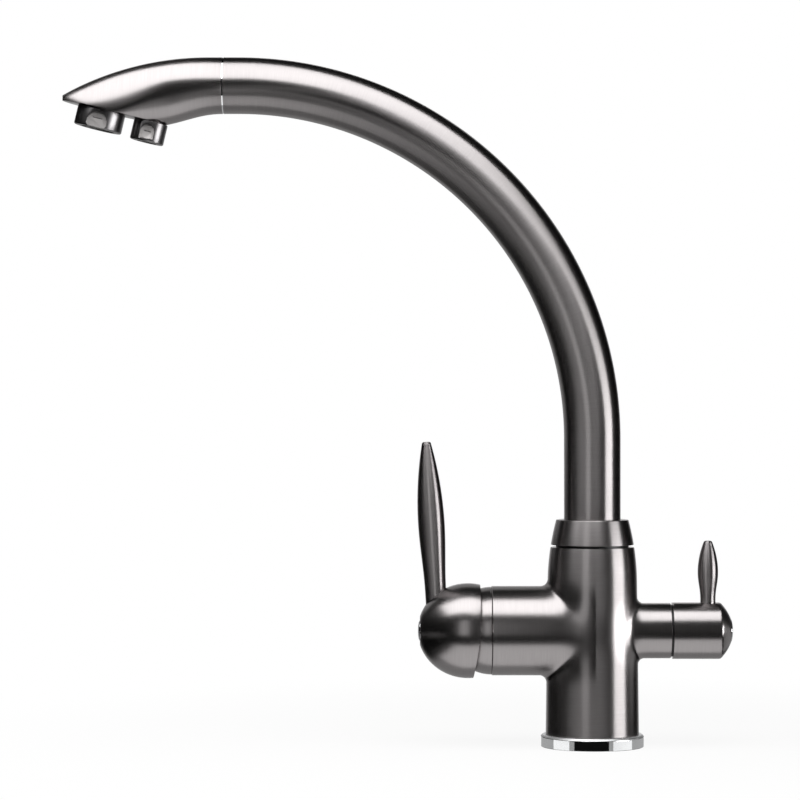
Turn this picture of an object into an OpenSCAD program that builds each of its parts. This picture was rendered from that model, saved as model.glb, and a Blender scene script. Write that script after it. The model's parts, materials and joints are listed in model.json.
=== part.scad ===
// Three-way kitchen tap: a side lever mixes hot and cold water, a small lever on the
// other side opens the filtered water, and one swan-neck spout carries both apart.
// Z is up from the worktop, the spout and the mixer lie towards -X, -Y is the front.

/* [Base] */
// Diameter of the chrome ring that stands on the worktop
base_ring_d = 51; // [50:0.5:58]
// Height of the chrome ring
base_ring_h = 6; // [4:0.5:10]
// Height of the rubber deck seal let into the ring
deck_seal_h = 1.5; // [1:0.25:2.5]
// Radial width of the deck seal
deck_seal_w = 2.2; // [1.5:0.1:2.5]
// Diameter of the brass connection plate inside the ring
manifold_d = 42.4; // [41:0.2:42.8]
// Circle on which the inlets and the fixing stud sit
inlet_circle_d = 24; // [22:0.5:25]
// Core diameter of the M10 x 1 inlet threads
inlet_d = 9; // [8:0.1:9.5]
// Depth of the sockets above the threads, for the ends of the hoses and of the stud
inlet_socket_depth = 8; // [6:0.5:12]
// Core diameter of the M8 fixing stud thread
stud_d = 6.8; // [5:0.1:8.5]

/* [Column] */
// Diameter of the column on the ring
column_d = 46.2; // [46:0.1:48]
// Height of the top of the column above the worktop
column_top_z = 98.6; // [96:0.2:110]
// Radius lost for each millimetre of height
column_taper = 0.0128; // [0:0.0004:0.014]
// Height of the rounded shoulder below the top of the column
shoulder_h = 16.6; // [10:0.2:18]
// How strongly the shoulder and the collar round in
shoulder_curve = 0.0042; // [0.002:0.0002:0.005]
// Height of both valve axes
valve_z = 57.2; // [54:0.2:58]

/* [Spout swivel] */
// Visible groove between the column and the collar
swivel_gap = 1.2; // [0.8:0.1:2]
// Diameter of the slip ring seen in the groove
slip_ring_d = 36; // [34:0.2:38]
// Height of the collar
collar_h = 12.4; // [10:0.2:14]
// Thickness of the collar around the flange of the spout tail
collar_wall = 2; // [1.5:0.1:2.5]
// Diameter of the swivel spigot
spigot_d = 29.6; // [29:0.1:30.4]
// Length of the swivel spigot
spigot_len = 19; // [18:0.5:20]
// Thickness of the O-rings on the spigot
spigot_oring_d = 1.8; // [1.4:0.1:2]
// Diameter of the grub screw that keeps the spout in
retainer_d = 5; // [4:0.5:5]

/* [Spout] */
// Outside diameter of the spout tube
tube_d = 28; // [27:0.1:28.4]
// Wall of the spout tube
tube_wall = 1.2; // [1:0.1:1.8]
// Radius of the swan-neck bend at the middle of the tube
bend_r = 175; // [120:1:220]
// Height at which the bend starts
bend_z = 152.3; // [130:1:200]
// Straight length after the bend
tube_end_len = 7.6; // [4:0.2:20]
// Outside diameter of the filtered-water hose inside the spout
hose_d = 8.4; // [8:0.1:9]
// Wall of the filtered-water hose
hose_wall = 1.2; // [1:0.1:1.4]

/* [Spout head] */
// Length of the spout head
head_len = 79.4; // [74:0.2:84]
// Polished ring in the joint between tube and head
head_ring_w = 0.6; // [0.4:0.1:1]
// Radius of the arc along the top of the head
head_arc_r = 148.7; // [142:0.5:170]
// Straight length along the top before that arc
head_flat_len = 7; // [4:0.5:10]
// How far the belly swells below the round of the tube
belly_swell = 4.1; // [3.6:0.1:4.6]
// Length of the swollen belly
belly_len = 60; // [56:1:64]
// Distance from the joint at which the round of the tube starts to widen into the bill
bill_start = 24; // [21:1:27]
// Distance from the joint at which the bill reaches down to the underside
bill_end = 74; // [70:1:78]
// Length of the rounded tip, seen from above
tip_len = 22; // [18:0.5:26]
// Thickness left at the tip
tip_thickness = 2.6; // [2:0.1:3]
// Slope of the flat underside that carries the outlets
underside_tilt = 13.5; // [12.5:0.1:14.5]

/* [Outlets] */
// Distance of the mixed-water outlet from the tip, along the underside
mixed_outlet_pos = 20.1; // [19.5:0.1:21]
// Outside diameter of the mixed-water aerator
mixed_outlet_d = 23.9; // [22.5:0.1:24.5]
// How far the mixed-water aerator stands out
mixed_outlet_h = 9.6; // [7:0.1:11]
// Distance of the filtered-water outlet from the tip, along the underside
filter_outlet_pos = 45.2; // [44:0.1:46]
// Outside diameter of the filtered-water aerator
filter_outlet_d = 16.9; // [16:0.1:18]
// How far the filtered-water aerator stands out
filter_outlet_h = 10.3; // [7:0.1:11]
// Radial step from an aerator's outside to its thread
aerator_step = 1.5; // [1.2:0.1:1.8]
// Wall of an aerator below its thread
aerator_wall = 1.1; // [0.9:0.1:1.3]
// Length of an aerator's thread
aerator_thread_len = 5; // [4:0.2:6]
// Width across an aerator's wrench flats, as a share of its diameter
flat_share = 0.91; // [0.88:0.01:0.95]

/* [Mixer valve] */
// Diameter of the mixer housing
housing_d = 44.2; // [43.6:0.1:44.4]
// Distance of the end of the mixer housing from the column axis
housing_reach = 50; // [49:0.2:54]
// Fillet where the mixer housing leaves the column
housing_fillet_r = 3.6; // [1.5:0.1:4]
// Outside diameter of the mixer cartridge
cartridge_d = 35; // [34:0.1:35.4]
// Thickness of the cartridge base plate
cartridge_base_h = 5; // [4.5:0.1:5.5]
// Thickness of each ceramic disc of the mixer
mixer_disc_h = 3.8; // [3.4:0.1:4]
// Diameter of the moving ceramic disc of the mixer
moving_disc_d = 23.4; // [22.8:0.1:23.4]
// Distance from the lever pivot to the ball that drives the moving disc
drive_arm = 12.5; // [12:0.1:13]
// Lift of the mixer lever from closed to fully open, in degrees
lever_lift = 22; // [16:1:22]
// Diameter of the pivot pin
pivot_pin_d = 3; // [2.4:0.1:3.4]
// Outside radius of the domed cover, about the lever pivot
cover_r = 21.7; // [21.4:0.1:21.8]
// Wall of the domed cover
cover_wall = 1.5; // [1:0.1:1.6]
// How far the domed cover reaches past the housing
cover_reach = 15.5; // [15:0.1:16]

/* [Mixer lever] */
// Diameter of the handle dome
dome_d = 47; // [46.8:0.1:49]
// Half length of the dome along its axis
dome_half_len = 25; // [24.5:0.1:26]
// Distance of the dome's widest point from the lever pivot
dome_offset = 11.6; // [11:0.1:12.4]
// Distance of the dome's rim from the lever pivot
rim_offset = 5.6; // [5.4:0.1:6.2]
// Slope of the lower half of the rim, which makes room for the lift
rim_slope = 8.5; // [8:0.1:10]
// How far the flat end of the dome lies inside the full ellipse
dome_end_cut = 1.2; // [0.8:0.1:1.6]
// Diameter of the mixer index button
mixer_button_d = 10.4; // [9:0.2:11]
// Lean of the lever, outwards
lever_lean = 3.6; // [2:0.1:5]
// Distance of the lever's foot from the lever pivot, along the housing axis
lever_foot_offset = 26.4; // [26:0.1:27.4]
// Length of the mixer lever from its seat in the dome to its tip
lever_len = 81.5; // [70:0.5:100]
// Largest diameter of the mixer lever
lever_max_d = 13.2; // [11:0.1:14]
// Distance from the tip to that largest diameter
lever_max_pos = 40.5; // [34:0.5:46]
// Diameter of the mixer lever at its foot
lever_foot_d = 10.5; // [9:0.1:10.8]
// Diameter of the mixer lever at its tip
lever_tip_d = 4.2; // [3:0.1:5]

/* [Filter valve] */
// Diameter of the boss for the filter valve
boss_d = 27.4; // [26.6:0.1:28]
// Distance of the end of the boss from the column axis
boss_reach = 38.7; // [37:0.1:42]
// Fillet where the boss leaves the column
boss_fillet_r = 3; // [1.2:0.1:3.2]
// Visible groove between the boss and the handle
filter_gap = 0.9; // [0.6:0.1:1.4]
// Diameter of the slip ring in that groove
filter_ring_d = 25.6; // [25:0.1:26]
// Outside diameter of the quarter-turn headwork
headwork_d = 20; // [19.4:0.1:20.4]
// Depth of the headwork in the boss
headwork_depth = 20; // [19:0.2:21]
// Thickness of each ceramic disc of the filter valve
filter_disc_h = 3.4; // [3:0.1:3.8]
// Diameter of the filter valve's spindle
filter_spindle_d = 8; // [7.4:0.1:8.4]

/* [Filter lever] */
// Diameter of the filter handle
filter_handle_d = 28; // [27.4:0.1:29]
// Length of the straight part of the filter handle
filter_handle_len = 23.7; // [23:0.1:26]
// Length of the rounded nose of the filter handle
filter_nose_len = 5.2; // [4.8:0.1:6]
// Height of the nose's bulge over a straight cone
filter_nose_bulge = 0.5; // [0.2:0.05:0.8]
// Diameter of the filter index button
filter_button_d = 11.8; // [11:0.1:12.4]
// Distance of the small lever from the open end of its handle
small_lever_pos = 17.7; // [17:0.1:18.6]
// Length of the small lever from its seat to its tip
small_lever_len = 31.4; // [28:0.2:44]
// Largest diameter of the small lever
small_lever_max_d = 10.1; // [9:0.1:11]
// Distance from the tip to that largest diameter
small_lever_max_pos = 15.7; // [13:0.1:16]
// Diameter of the small lever at its foot
small_lever_foot_d = 7.5; // [7:0.1:8]
// Diameter of the small lever at its tip
small_lever_tip_d = 3.7; // [3:0.1:4]

/* [Clearances] */
// Gap between nested pieces that stay together
fit_gap = 0.1; // [0.05:0.01:0.12]
// Radial gap of a piece that turns in another
run_gap = 0.06; // [0.03:0.01:0.08]
// Gap between pieces that pass each other
free_gap = 0.4; // [0.35:0.05:0.45]

/* [Hidden] */
$fn = 96;
// Roundness of the faceted blends and of the spout head
blend_steps = 72;
blend_arc_steps = 5;
head_stations = 36;
head_sides = 44;
profile_steps = 14;
// Overshoot of a cut past the surface that it opens
past = 1;
// Depth by which a blend's edge dips into the surface that it runs onto
blend_dip = 0.04;
// Depth of a blend's hidden core, in ball radii
blend_core = 2.2;
// Chamfer on the edges of turned pieces
edge = 0.3;
// Room under the tip of a screw or stud
screw_room = 0.4;
// Gap between an O-ring and the bore that it runs in
seal_gap = 0.03;

steel = [0.33, 0.32, 0.32];
dark_steel = [0.2, 0.2, 0.21];
chrome = [0.8, 0.81, 0.83];
brass = [0.72, 0.58, 0.3];
ceramic = [0.93, 0.92, 0.88];
rubber = [0.09, 0.09, 0.09];
plastic = [0.86, 0.86, 0.84];

// Column and swivel
shoulder_z = column_top_z - shoulder_h;
collar_z = column_top_z + swivel_gap;
collar_top_z = collar_z + collar_h;
ring_bore_r = manifold_d / 2 + fit_gap;
socket_top_z = base_ring_h + inlet_socket_depth;
tube_r = tube_d / 2;
tube_bore_r = tube_r - tube_wall;
spigot_r = spigot_d / 2;
socket_r = spigot_r + run_gap;
spigot_room = 1.1;
socket_floor_z = column_top_z - spigot_len - spigot_room;
flange_h = 2.4;
tail_wall = 2;
tail_recess = 1;
tail_bore_r = tube_bore_r - tail_wall;
tail_top_z = collar_top_z - tail_recess;
tube_foot_z = collar_z + flange_h;
oring_inset = 3.4;
spigot_oring_r = socket_r - seal_gap - spigot_oring_d / 2;
spigot_oring_z = [column_top_z - oring_inset, column_top_z - spigot_len + oring_inset];
retainer_z = column_top_z - spigot_len / 2;
retainer_groove_depth = 1.4;
retainer_point = 0.8;
retainer_recess = 1;
retainer_key_d = 2.9;
retainer_key_depth = 2;
hose_r = hose_d / 2;
hose_bore_r = hose_r - hose_wall;
nipple_r = hose_bore_r - run_gap;
nipple_wall = 0.9;
nipple_bore_r = nipple_r - nipple_wall;
nipple_seat_step = 1.4;
nipple_seat_len = 8;
nipple_flange_step = 2.6;
nipple_flange_h = 2;
nipple_len = 16;
nipple_point = 0.6;
hose_foot_room = 2;
nipple_seat_r = nipple_r + nipple_seat_step;
nipple_seat_z = socket_floor_z - nipple_seat_len;
nipple_flange_r = nipple_r + nipple_flange_step;
nipple_top_z = socket_floor_z + nipple_len;
hose_foot_z = socket_floor_z + nipple_flange_h + hose_foot_room;
riser_x = inlet_circle_d / 2 * cos(45);

// Spout head
bend_top_z = bend_z + bend_r;
tube_end_x = bend_r + tube_end_len;
head_x = tube_end_x + head_ring_w;
head_spigot_r = tube_bore_r - fit_gap / 2;
head_spigot_len = 10;
head_spigot_wall = 2.4;
head_cavity_r = head_spigot_r - head_spigot_wall;
head_cavity_len = 18;
head_hose_room = 1;
head_nipple_seat = 5;
head_channel_r = 2.2;
head_channel_y = 6.6;
head_channel_dip = 15;
head_weld = 2;
tip_z = head_top(head_len) - tip_thickness;
tip_dip = 2;
head_nipple_len = 9;
lip_w = 0.8;
lip_h = 1.2;
aerator_edge = 0.5;
washer_h = 1.5;
washer_w = 2.4;
jet_d = 1.2;
jet_pitch = 2.2;
jet_grid_h = 3;
jet_wall = 1.2;
jet_top_gap = 0.6;
flat_top_share = 0.2;
flat_foot_share = 0.86;
key_slot_share = 0.55;
key_slot_h = 0.45;
key_slot_depth = 0.35;

// Mixer, as distances from the column axis along the housing
pivot_u = housing_reach;
cartridge_r = cartridge_d / 2;
cartridge_bore_r = cartridge_r + fit_gap;
nut_inset = 1.7;
nut_depth = 5.5;
nut_r = housing_d / 2 - nut_inset;
nut_u = pivot_u - nut_depth;
nut_hex_h = 2.6;
nut_hex_room = 1.6;
drive_u = pivot_u - drive_arm;
driver_rise = 2.1;
driver_drop = 4;
driver_top_u = drive_u + driver_rise;
driver_u = drive_u - driver_drop;
driver_plate_h = 2.5;
driver_rim = 0.5;
driver_len = 16;
driver_w = 12;
driver_pocket_floor = 1.2;
moving_disc_u = driver_u - mixer_disc_h;
disc_gap = 0.05;
fixed_disc_u = moving_disc_u - disc_gap - mixer_disc_h;
cartridge_u = fixed_disc_u - cartridge_base_h;
shell_wall = 3;
shell_bore_r = cartridge_r - shell_wall;
disc_travel = drive_arm * sin(lever_lift);
turret_u = driver_u + driver_plate_h + free_gap;
turret_flange_r = shell_bore_r - run_gap;
turret_step = 2.5;
turret_drop = 1.8;
turret_rise = 4.2;
turret_r = shell_bore_r - turret_step;
turret_flange_top_u = nut_u - turret_drop;
turret_top_u = pivot_u + turret_rise;
pin_recess = 0.8;
shell_neck_wall = 2.2;
shell_rise = 2;
shell_neck_r = turret_r + run_gap + shell_neck_wall;
shell_top_u = pivot_u + shell_rise;
spindle_r = 3.8;
spindle_ball_r = 2.5;
spindle_neck_r = 1.7;
spindle_neck_len = 4.4;
spindle_barrel_drop = 4.5;
spindle_reach = 27.5;
spindle_neck_u = drive_u + spindle_neck_len;
spindle_barrel_u = pivot_u - spindle_barrel_drop;
spindle_end_u = pivot_u + spindle_reach;
spindle_square = 7.6;
spindle_square_len = 11;
spindle_thread_len = 9;
spindle_screw_len = 7;
slot_w = 2 * (spindle_r + free_gap);
// Height of the slot that the ball swings in: what the ball still fills above the driver's room, fully lifted
ball_cover = driver_rise + free_gap - drive_arm * (1 - cos(lever_lift));
slot_h = 2 * (disc_travel + sqrt(max(0, pow(spindle_ball_r, 2) - pow(ball_cover, 2))) + free_gap);
// Ports of the cartridge as heights above and widths across its axis: hot, cold, mixed
cartridge_port_r = 2;
cartridge_ports = [[5.9, -3.4], [5.9, 3.4], [-5, 0]];
mixed_port = cartridge_ports[2];
mixing_front_r = 4.4;
mixing_back_r = 3.6;
mixing_back = -5.2;
mixing_depth = 2;
waterway_r = 2.5;
seal_w = 1;
seal_h = 1.2;
dome_u = pivot_u + dome_offset;
rim_u = pivot_u + rim_offset;
dome_end_u = dome_u + dome_half_len - dome_end_cut;
cavity_r = cover_r + free_gap;
handle_screw_d = 5;
screw_head_r = 4.2;
screw_head_h = 3;
screw_key_d = 3.4;
screw_key_depth = 1.8;
button_depth = 1.6;
button_dome = 1.1;
mixer_screw_u = dome_end_u - button_depth - screw_head_h - screw_room;

// Lever seats: how deep a lever's foot sinks into its handle, and its stud
lever_neck_share = 0.83;
lever_steps = 28;
lever_tip_crowding = 1.6;
lever_tip_edge = 0.7;
lever_foot_u = pivot_u + lever_foot_offset;
lever_seat_h = 12.2;
lever_stud_d = 5.6;
lever_stud_len = 5;
small_lever_stud_d = 4;
small_lever_stud_len = 4.5;

// Filter valve, as distances from the column axis along the boss
headwork_r = headwork_d / 2;
headwork_u = boss_reach - headwork_depth;
filter_seal_h = 2;
filter_floor_u = headwork_u - filter_seal_h;
headwork_wall = 1.8;
headwork_bore_r = headwork_r - headwork_wall;
filter_disc_r = headwork_bore_r - run_gap;
filter_moving_u = headwork_u + filter_disc_h + disc_gap;
filter_shoulder_u = filter_moving_u + filter_disc_h;
filter_port_r = 2.2;
filter_port_offset = 4;
filter_window_r = 1.5;
filter_way_inset = 1;
filter_way_offset = headwork_r - filter_way_inset;
filter_seal_w = 5.2;
headwork_room = 5;
headwork_nose_step = 2;
headwork_rise = 7.5;
headwork_bore_len = 2 * filter_disc_h + headwork_room;
headwork_nose_r = headwork_r - headwork_nose_step;
headwork_top_u = boss_reach + headwork_rise;
filter_spindle_r = filter_spindle_d / 2;
filter_spindle_reach = 17;
filter_spindle_end_u = boss_reach + filter_spindle_reach;
filter_square_share = 0.72;
filter_square = filter_spindle_d * filter_square_share;
filter_screw_d = 4;
filter_thread_len = 6;
filter_screw_len = 5;
circlip_groove = 0.7;
circlip_w = 2.25;
circlip_h = 0.9;
circlip_gap = 2.4;
filter_handle_u = boss_reach + filter_gap;
filter_nose_u = filter_handle_u + filter_handle_len;
filter_handle_end_u = filter_nose_u + filter_nose_len;
filter_screw_u = filter_handle_end_u - button_depth - screw_head_h - screw_room;
filter_cavity_room = 1.2;
filter_cavity_rise = 2;
filter_oring_rise = 2;
filter_cavity_r = headwork_r + filter_cavity_room;
filter_cavity_end_u = headwork_top_u + filter_cavity_rise;
filter_oring_u = boss_reach + filter_oring_rise;
small_lever_u = filter_handle_u + small_lever_pos;
small_lever_seat_h = sqrt(pow(filter_handle_d / 2, 2) - pow(small_lever_foot_d / 2 + fit_gap, 2)) - edge;
filter_oring_d = 1.6;

// Radius of the column and of the collar at height z
function column_r(z) =
    column_d / 2 - column_taper * (z - base_ring_h)
    - shoulder_curve * pow(max(0, z - shoulder_z), 2);

// Top line of the spout head at distance d from the joint
function head_top(d) =
    bend_top_z + tube_r - head_arc_r + sqrt(pow(head_arc_r, 2) - pow(max(0, d - head_flat_len), 2));

// Underside of the head at distance d from the joint
function underside_z(d) = tip_z - (head_len - d) * tan(underside_tilt);

// Share of the way from the round of the tube to the bill, eased at both ends
function bill_share(d) =
    let (t = min(1, max(0, (d - bill_start) / (bill_end - bill_start))))
    t * t * (3 - 2 * t);

// Half height of the head above its widest line, which sinks below the underside in the bill
function head_crown(d) = tube_r + (head_top(d) - underside_z(d) + tip_dip - tube_r) * bill_share(d);

// Half height of the head below its widest line
function head_belly(d) =
    2 * tube_r - head_crown(d) + belly_swell * (d < belly_len ? pow(sin(180 * d / belly_len), 2) : 0);

// Half width of the head, seen from above
function head_width(d) =
    let (t = max(0, d - head_len + tip_len) / tip_len)
    tube_r * sqrt(max(0.0004, 1 - t * t));

// One cross-section of the head, as points in space
function head_section(d) = [
    for (i = [0 : head_sides - 1])
        let (a = 360 * i / head_sides, up = sin(a) > 0)
        [
            -head_x - d,
            head_width(d) * cos(a),
            head_top(d) - head_crown(d) + (up ? head_crown(d) : head_belly(d)) * sin(a)
        ]
];

// Radius of a turned lever at distance t from its tip
function lever_radius(t, tip_r, max_r, foot_r, max_pos, len) =
    t < max_pos
        ? max_r - (max_r - tip_r) * pow(1 - t / max_pos, 2)
            - lever_tip_edge * (1 - sqrt(1 - pow(max(0, 1 - t / lever_tip_edge), 2)))
        : let (s = min(1, (t - max_pos) / (len - max_pos) / lever_neck_share))
            foot_r + (max_r - foot_r) * (1 + cos(180 * s)) / 2;

// Points on an arc from p to q that bulges to the left by the height h
function arc(p, q, h, n) =
    let (
        c = norm(q - p),
        r = (c * c / 4 + h * h) / (2 * h),
        m = (p + q) / 2,
        s = [p[1] - q[1], q[0] - p[0]] / c,
        o = m + s * (h - r),
        half = asin(c / 2 / r),
        mid = atan2(s[1], s[0])
    )
    [for (i = [0 : n]) o + r * [cos(mid + half - 2 * half * i / n), sin(mid + half - 2 * half * i / n)]];

// Places a piece along the mixer axis: its Z runs out from the column, its X points up
module on_mixer() {
    translate([0, 0, valve_z]) rotate([0, -90, 0]) children();
}

// Places a piece along the filter axis: its Z runs out from the column, its X points up
module on_filter() {
    translate([0, 0, valve_z]) rotate([0, 90, 0]) rotate([0, 0, 180]) children();
}

// Places a piece on the underside of the spout head, with its Z into the head
module on_underside(pos) {
    translate([-head_x - head_len, 0, tip_z])
        rotate([0, underside_tilt, 0])
            translate([pos, 0, 0])
                children();
}

module turned(points) {
    rotate_extrude() polygon(points);
}

// A ring or disc from z0 to z1, with the bore r0
module ring(r0, r1, z0, z1) {
    translate([0, 0, z0]) difference() {
        cylinder(r = r1, h = z1 - z0);
        if (r0 > 0) translate([0, 0, -past]) cylinder(r = r0, h = z1 - z0 + 2 * past);
    }
}

module rod(r, z0, z1) {
    translate([0, 0, z0]) cylinder(r = r, h = z1 - z0);
}

module o_ring(r, thickness, z) {
    translate([0, 0, z]) rotate_extrude() translate([r, 0]) circle(d = thickness, $fn = 32);
}

// The swan-neck path, swept with a ring of the radii r0 and r1 from the height z0
module swan_neck(r0, r1, z0, end_len) {
    ring(r0, r1, z0, bend_z);
    translate([-bend_r, 0, bend_z]) rotate([90, 0, 0]) rotate_extrude(angle = 90)
        translate([bend_r, 0]) difference() {
            circle(r = r1);
            circle(r = r0);
        }
    translate([-bend_r, 0, bend_top_z]) rotate([0, -90, 0]) ring(r0, r1, 0, end_len);
}

// Blend between the column and a round arm of radius arm_r, rolled with a ball of radius f.
// side is -1 for an arm towards -X and 1 for an arm towards +X.
module arm_blend(arm_r, f, side) {
    n = blend_arc_steps + 2;
    rows = [
        for (i = [0 : blend_steps - 1])
            let (
                t = 360 * i / blend_steps,
                z = (arm_r + f) * cos(t),
                y = (arm_r + f) * sin(t),
                col = column_r(valve_z + z),
                x = sqrt(pow(col + f, 2) - y * y),
                ball = [x, y, z],
                on_col = [x * col / (col + f), y * col / (col + f), z] - ball,
                on_arm = [x, y * arm_r / (arm_r + f), z * arm_r / (arm_r + f)] - ball,
                sweep = acos(max(-1, min(1, on_col * on_arm / (f * f)))),
                core = ball + (on_col + on_arm) / norm(on_col + on_arm) * (f * blend_core)
            )
            [
                for (j = [0 : blend_arc_steps])
                    let (
                        s = j / blend_arc_steps,
                        dip = j == 0 || j == blend_arc_steps ? blend_dip : 0,
                        p = (on_col * sin((1 - s) * sweep) + on_arm * sin(s * sweep)) / sin(sweep)
                    )
                    ball + p * (1 + dip / f),
                core
            ]
    ];
    points = [for (row = rows) for (p = row) [side * p[0], -side * p[1], p[2] + valve_z]];
    faces = [
        for (i = [0 : blend_steps - 1], j = [0 : n - 1])
            let (
                a = i * n + j,
                b = i * n + (j + 1) % n,
                c = (i + 1) % blend_steps * n + j,
                d = (i + 1) % blend_steps * n + (j + 1) % n
            )
            each [[a, b, d], [a, d, c]]
    ];
    polyhedron(points, faces);
}

// Outline of a turned lever, with the stud under its foot; its Z runs from the seat to the tip
module turned_lever(len, tip_d, max_d, foot_d, max_pos, stud_len, stud_d) {
    turned(concat(
        [[0, -stud_len], [stud_d / 2 - edge, -stud_len], [stud_d / 2, -stud_len + edge], [stud_d / 2, 0]],
        [
            for (i = [0 : lever_steps])
                let (t = len * pow(1 - i / lever_steps, lever_tip_crowding))
                [lever_radius(t, tip_d / 2, max_d / 2, foot_d / 2, max_pos, len), len - t]
        ],
        [[0, len]]
    ));
}

// Handle screw: its Z runs from the tip to the head
module handle_screw(z0, z1, d) {
    difference() {
        union() {
            rod(d / 2, z0, z1);
            rod(screw_head_r - fit_gap, z1, z1 + screw_head_h);
        }
        translate([0, 0, z1 + screw_head_h - screw_key_depth])
            cylinder(d = screw_key_d, h = screw_key_depth + past, $fn = 6);
    }
}

// Index button with a shallow dome; its Z runs outwards from the seat
module index_button(d, seat_z, face_z) {
    r = d / 2 - fit_gap;
    turned(concat(
        [[0, seat_z], [r, seat_z], [r, face_z]],
        [for (i = [1 : 6]) [r * cos(15 * i), face_z + button_dome * sin(15 * i)]]
    ));
}

// Aerator housing: thread, round body with two wrench flats, and a lip below.
// Its Z runs into the head from the underside.
module aerator(d, h) {
    thread_r = d / 2 - aerator_step;
    bore_r = thread_r - aerator_wall;
    flat_y = d / 2 * flat_share;
    arch_r = d / 2 * sqrt(1 - flat_share * flat_share);
    arch_z = -h * flat_top_share - arch_r;
    flat_z = -h * flat_foot_share;
    difference() {
        turned([
            [bore_r - lip_w, -h], [d / 2 - aerator_edge, -h], [d / 2, -h + aerator_edge],
            [d / 2, -edge], [d / 2 - edge, 0],
            [thread_r, 0], [thread_r, aerator_thread_len], [bore_r, aerator_thread_len],
            [bore_r, -h + lip_h], [bore_r - lip_w, -h + lip_h]
        ]);
        for (side = [-1, 1]) {
            translate([0, side * (flat_y + aerator_step / 2), 0]) rotate([90, 0, 0])
                linear_extrude(aerator_step, center = true) {
                    translate([0, arch_z]) circle(r = arch_r);
                    translate([-arch_r, flat_z]) square([2 * arch_r, arch_z - flat_z]);
                }
            translate([-arch_r / 2, side * flat_y - key_slot_depth, -h * key_slot_share])
                cube([arch_r, 2 * key_slot_depth, key_slot_h]);
        }
    }
}

// Jet former of an aerator: a cup with rings of water slots
module aerator_insert(d, h) {
    r = d / 2 - aerator_step - aerator_wall - fit_gap;
    z0 = -h + lip_h;
    difference() {
        rod(r, z0, aerator_thread_len - jet_top_gap);
        rod(r - jet_wall, z0 + jet_grid_h, aerator_thread_len);
        for (k = [1 : floor((r - jet_wall) / jet_pitch)])
            for (a = [0 : 360 / (6 * k) : 359])
                rotate([0, 0, a]) translate([jet_pitch * k, 0, z0 - past])
                    cylinder(d = jet_d, h = jet_grid_h + 2 * past);
    }
}

// Washer between an aerator's thread and the floor of its hole
module aerator_washer(d) {
    r = d / 2 - aerator_step;
    ring(r - washer_w, r, aerator_thread_len, aerator_thread_len + washer_h);
}

// Threaded hole for an aerator
module aerator_hole(d) {
    rod(d / 2 - aerator_step + fit_gap, -past, aerator_thread_len + washer_h);
}

module base_ring() color(chrome) {
    r = base_ring_d / 2;
    seal_r = r - 1;
    difference() {
        turned([
            [ring_bore_r, 0], [r - edge, 0], [r, edge], [r, base_ring_h - edge],
            [r - edge, base_ring_h], [ring_bore_r, base_ring_h]
        ]);
        ring(seal_r - deck_seal_w, seal_r, -past, deck_seal_h);
    }
}

module base_gasket() color(rubber) {
    seal_r = base_ring_d / 2 - 1;
    ring(seal_r - deck_seal_w + fit_gap / 2, seal_r - fit_gap / 2, 0, deck_seal_h);
}

// Inlets for hot, cold and filtered water, and the thread of the fixing stud
module at_inlet(k) {
    rotate([0, 0, 45 + 90 * k]) translate([inlet_circle_d / 2, 0, 0]) children();
}

module base_manifold() color(brass) difference() {
    rod(manifold_d / 2, 0, base_ring_h);
    for (k = [0 : 2]) at_inlet(k) rod(inlet_d / 2, -past, base_ring_h + past);
    at_inlet(3) rod(stud_d / 2, -past, base_ring_h + past);
}

module column_outline() {
    foot_r = column_r(base_ring_h);
    steps = 8;
    turned(concat(
        [[0, base_ring_h], [foot_r - edge, base_ring_h], [foot_r, base_ring_h + edge]],
        [for (i = [0 : steps]) let (z = shoulder_z + (shoulder_h - edge) * i / steps) [column_r(z), z]],
        [[column_r(column_top_z) - edge, column_top_z], [0, column_top_z]]
    ));
}

// A round passage from the point p to the point q
module drilled(p, q, r) {
    d = q - p;
    translate(p) rotate([0, acos(d[2] / norm(d)), atan2(d[1], d[0])]) cylinder(r = r, h = norm(d));
}

// Waterways in the column: from the inlets to the valves, and from them up to the spout
module waterways() {
    mixed_z = valve_z + mixed_port[0];
    filter_way_z = valve_z + filter_way_offset;
    for (k = [1, 2]) {
        port = cartridge_ports[2 - k];
        bend = [-riser_x, sign(port[1]) * riser_x, valve_z + port[0]];
        at_inlet(k) rod(waterway_r, socket_top_z - past, bend[2] + cartridge_port_r);
        drilled(bend, [-cartridge_u - past, port[1], bend[2]], cartridge_port_r);
    }
    drilled([-riser_x, 0, mixed_z], [-cartridge_u - past, 0, mixed_z], cartridge_port_r);
    translate([-riser_x, 0, 0]) rod(waterway_r, mixed_z - cartridge_port_r, socket_floor_z + past);
    at_inlet(0) rod(waterway_r, socket_top_z - past, valve_z + waterway_r);
    drilled([riser_x, riser_x, valve_z], [riser_x, -waterway_r, valve_z], waterway_r);
    drilled([riser_x, 0, valve_z], [filter_floor_u + past, 0, valve_z], waterway_r);
    drilled([0, 0, filter_way_z], [filter_shoulder_u, 0, filter_way_z], cartridge_port_r);
    rod(waterway_r, filter_way_z - cartridge_port_r, nipple_seat_z + past);
}

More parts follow.
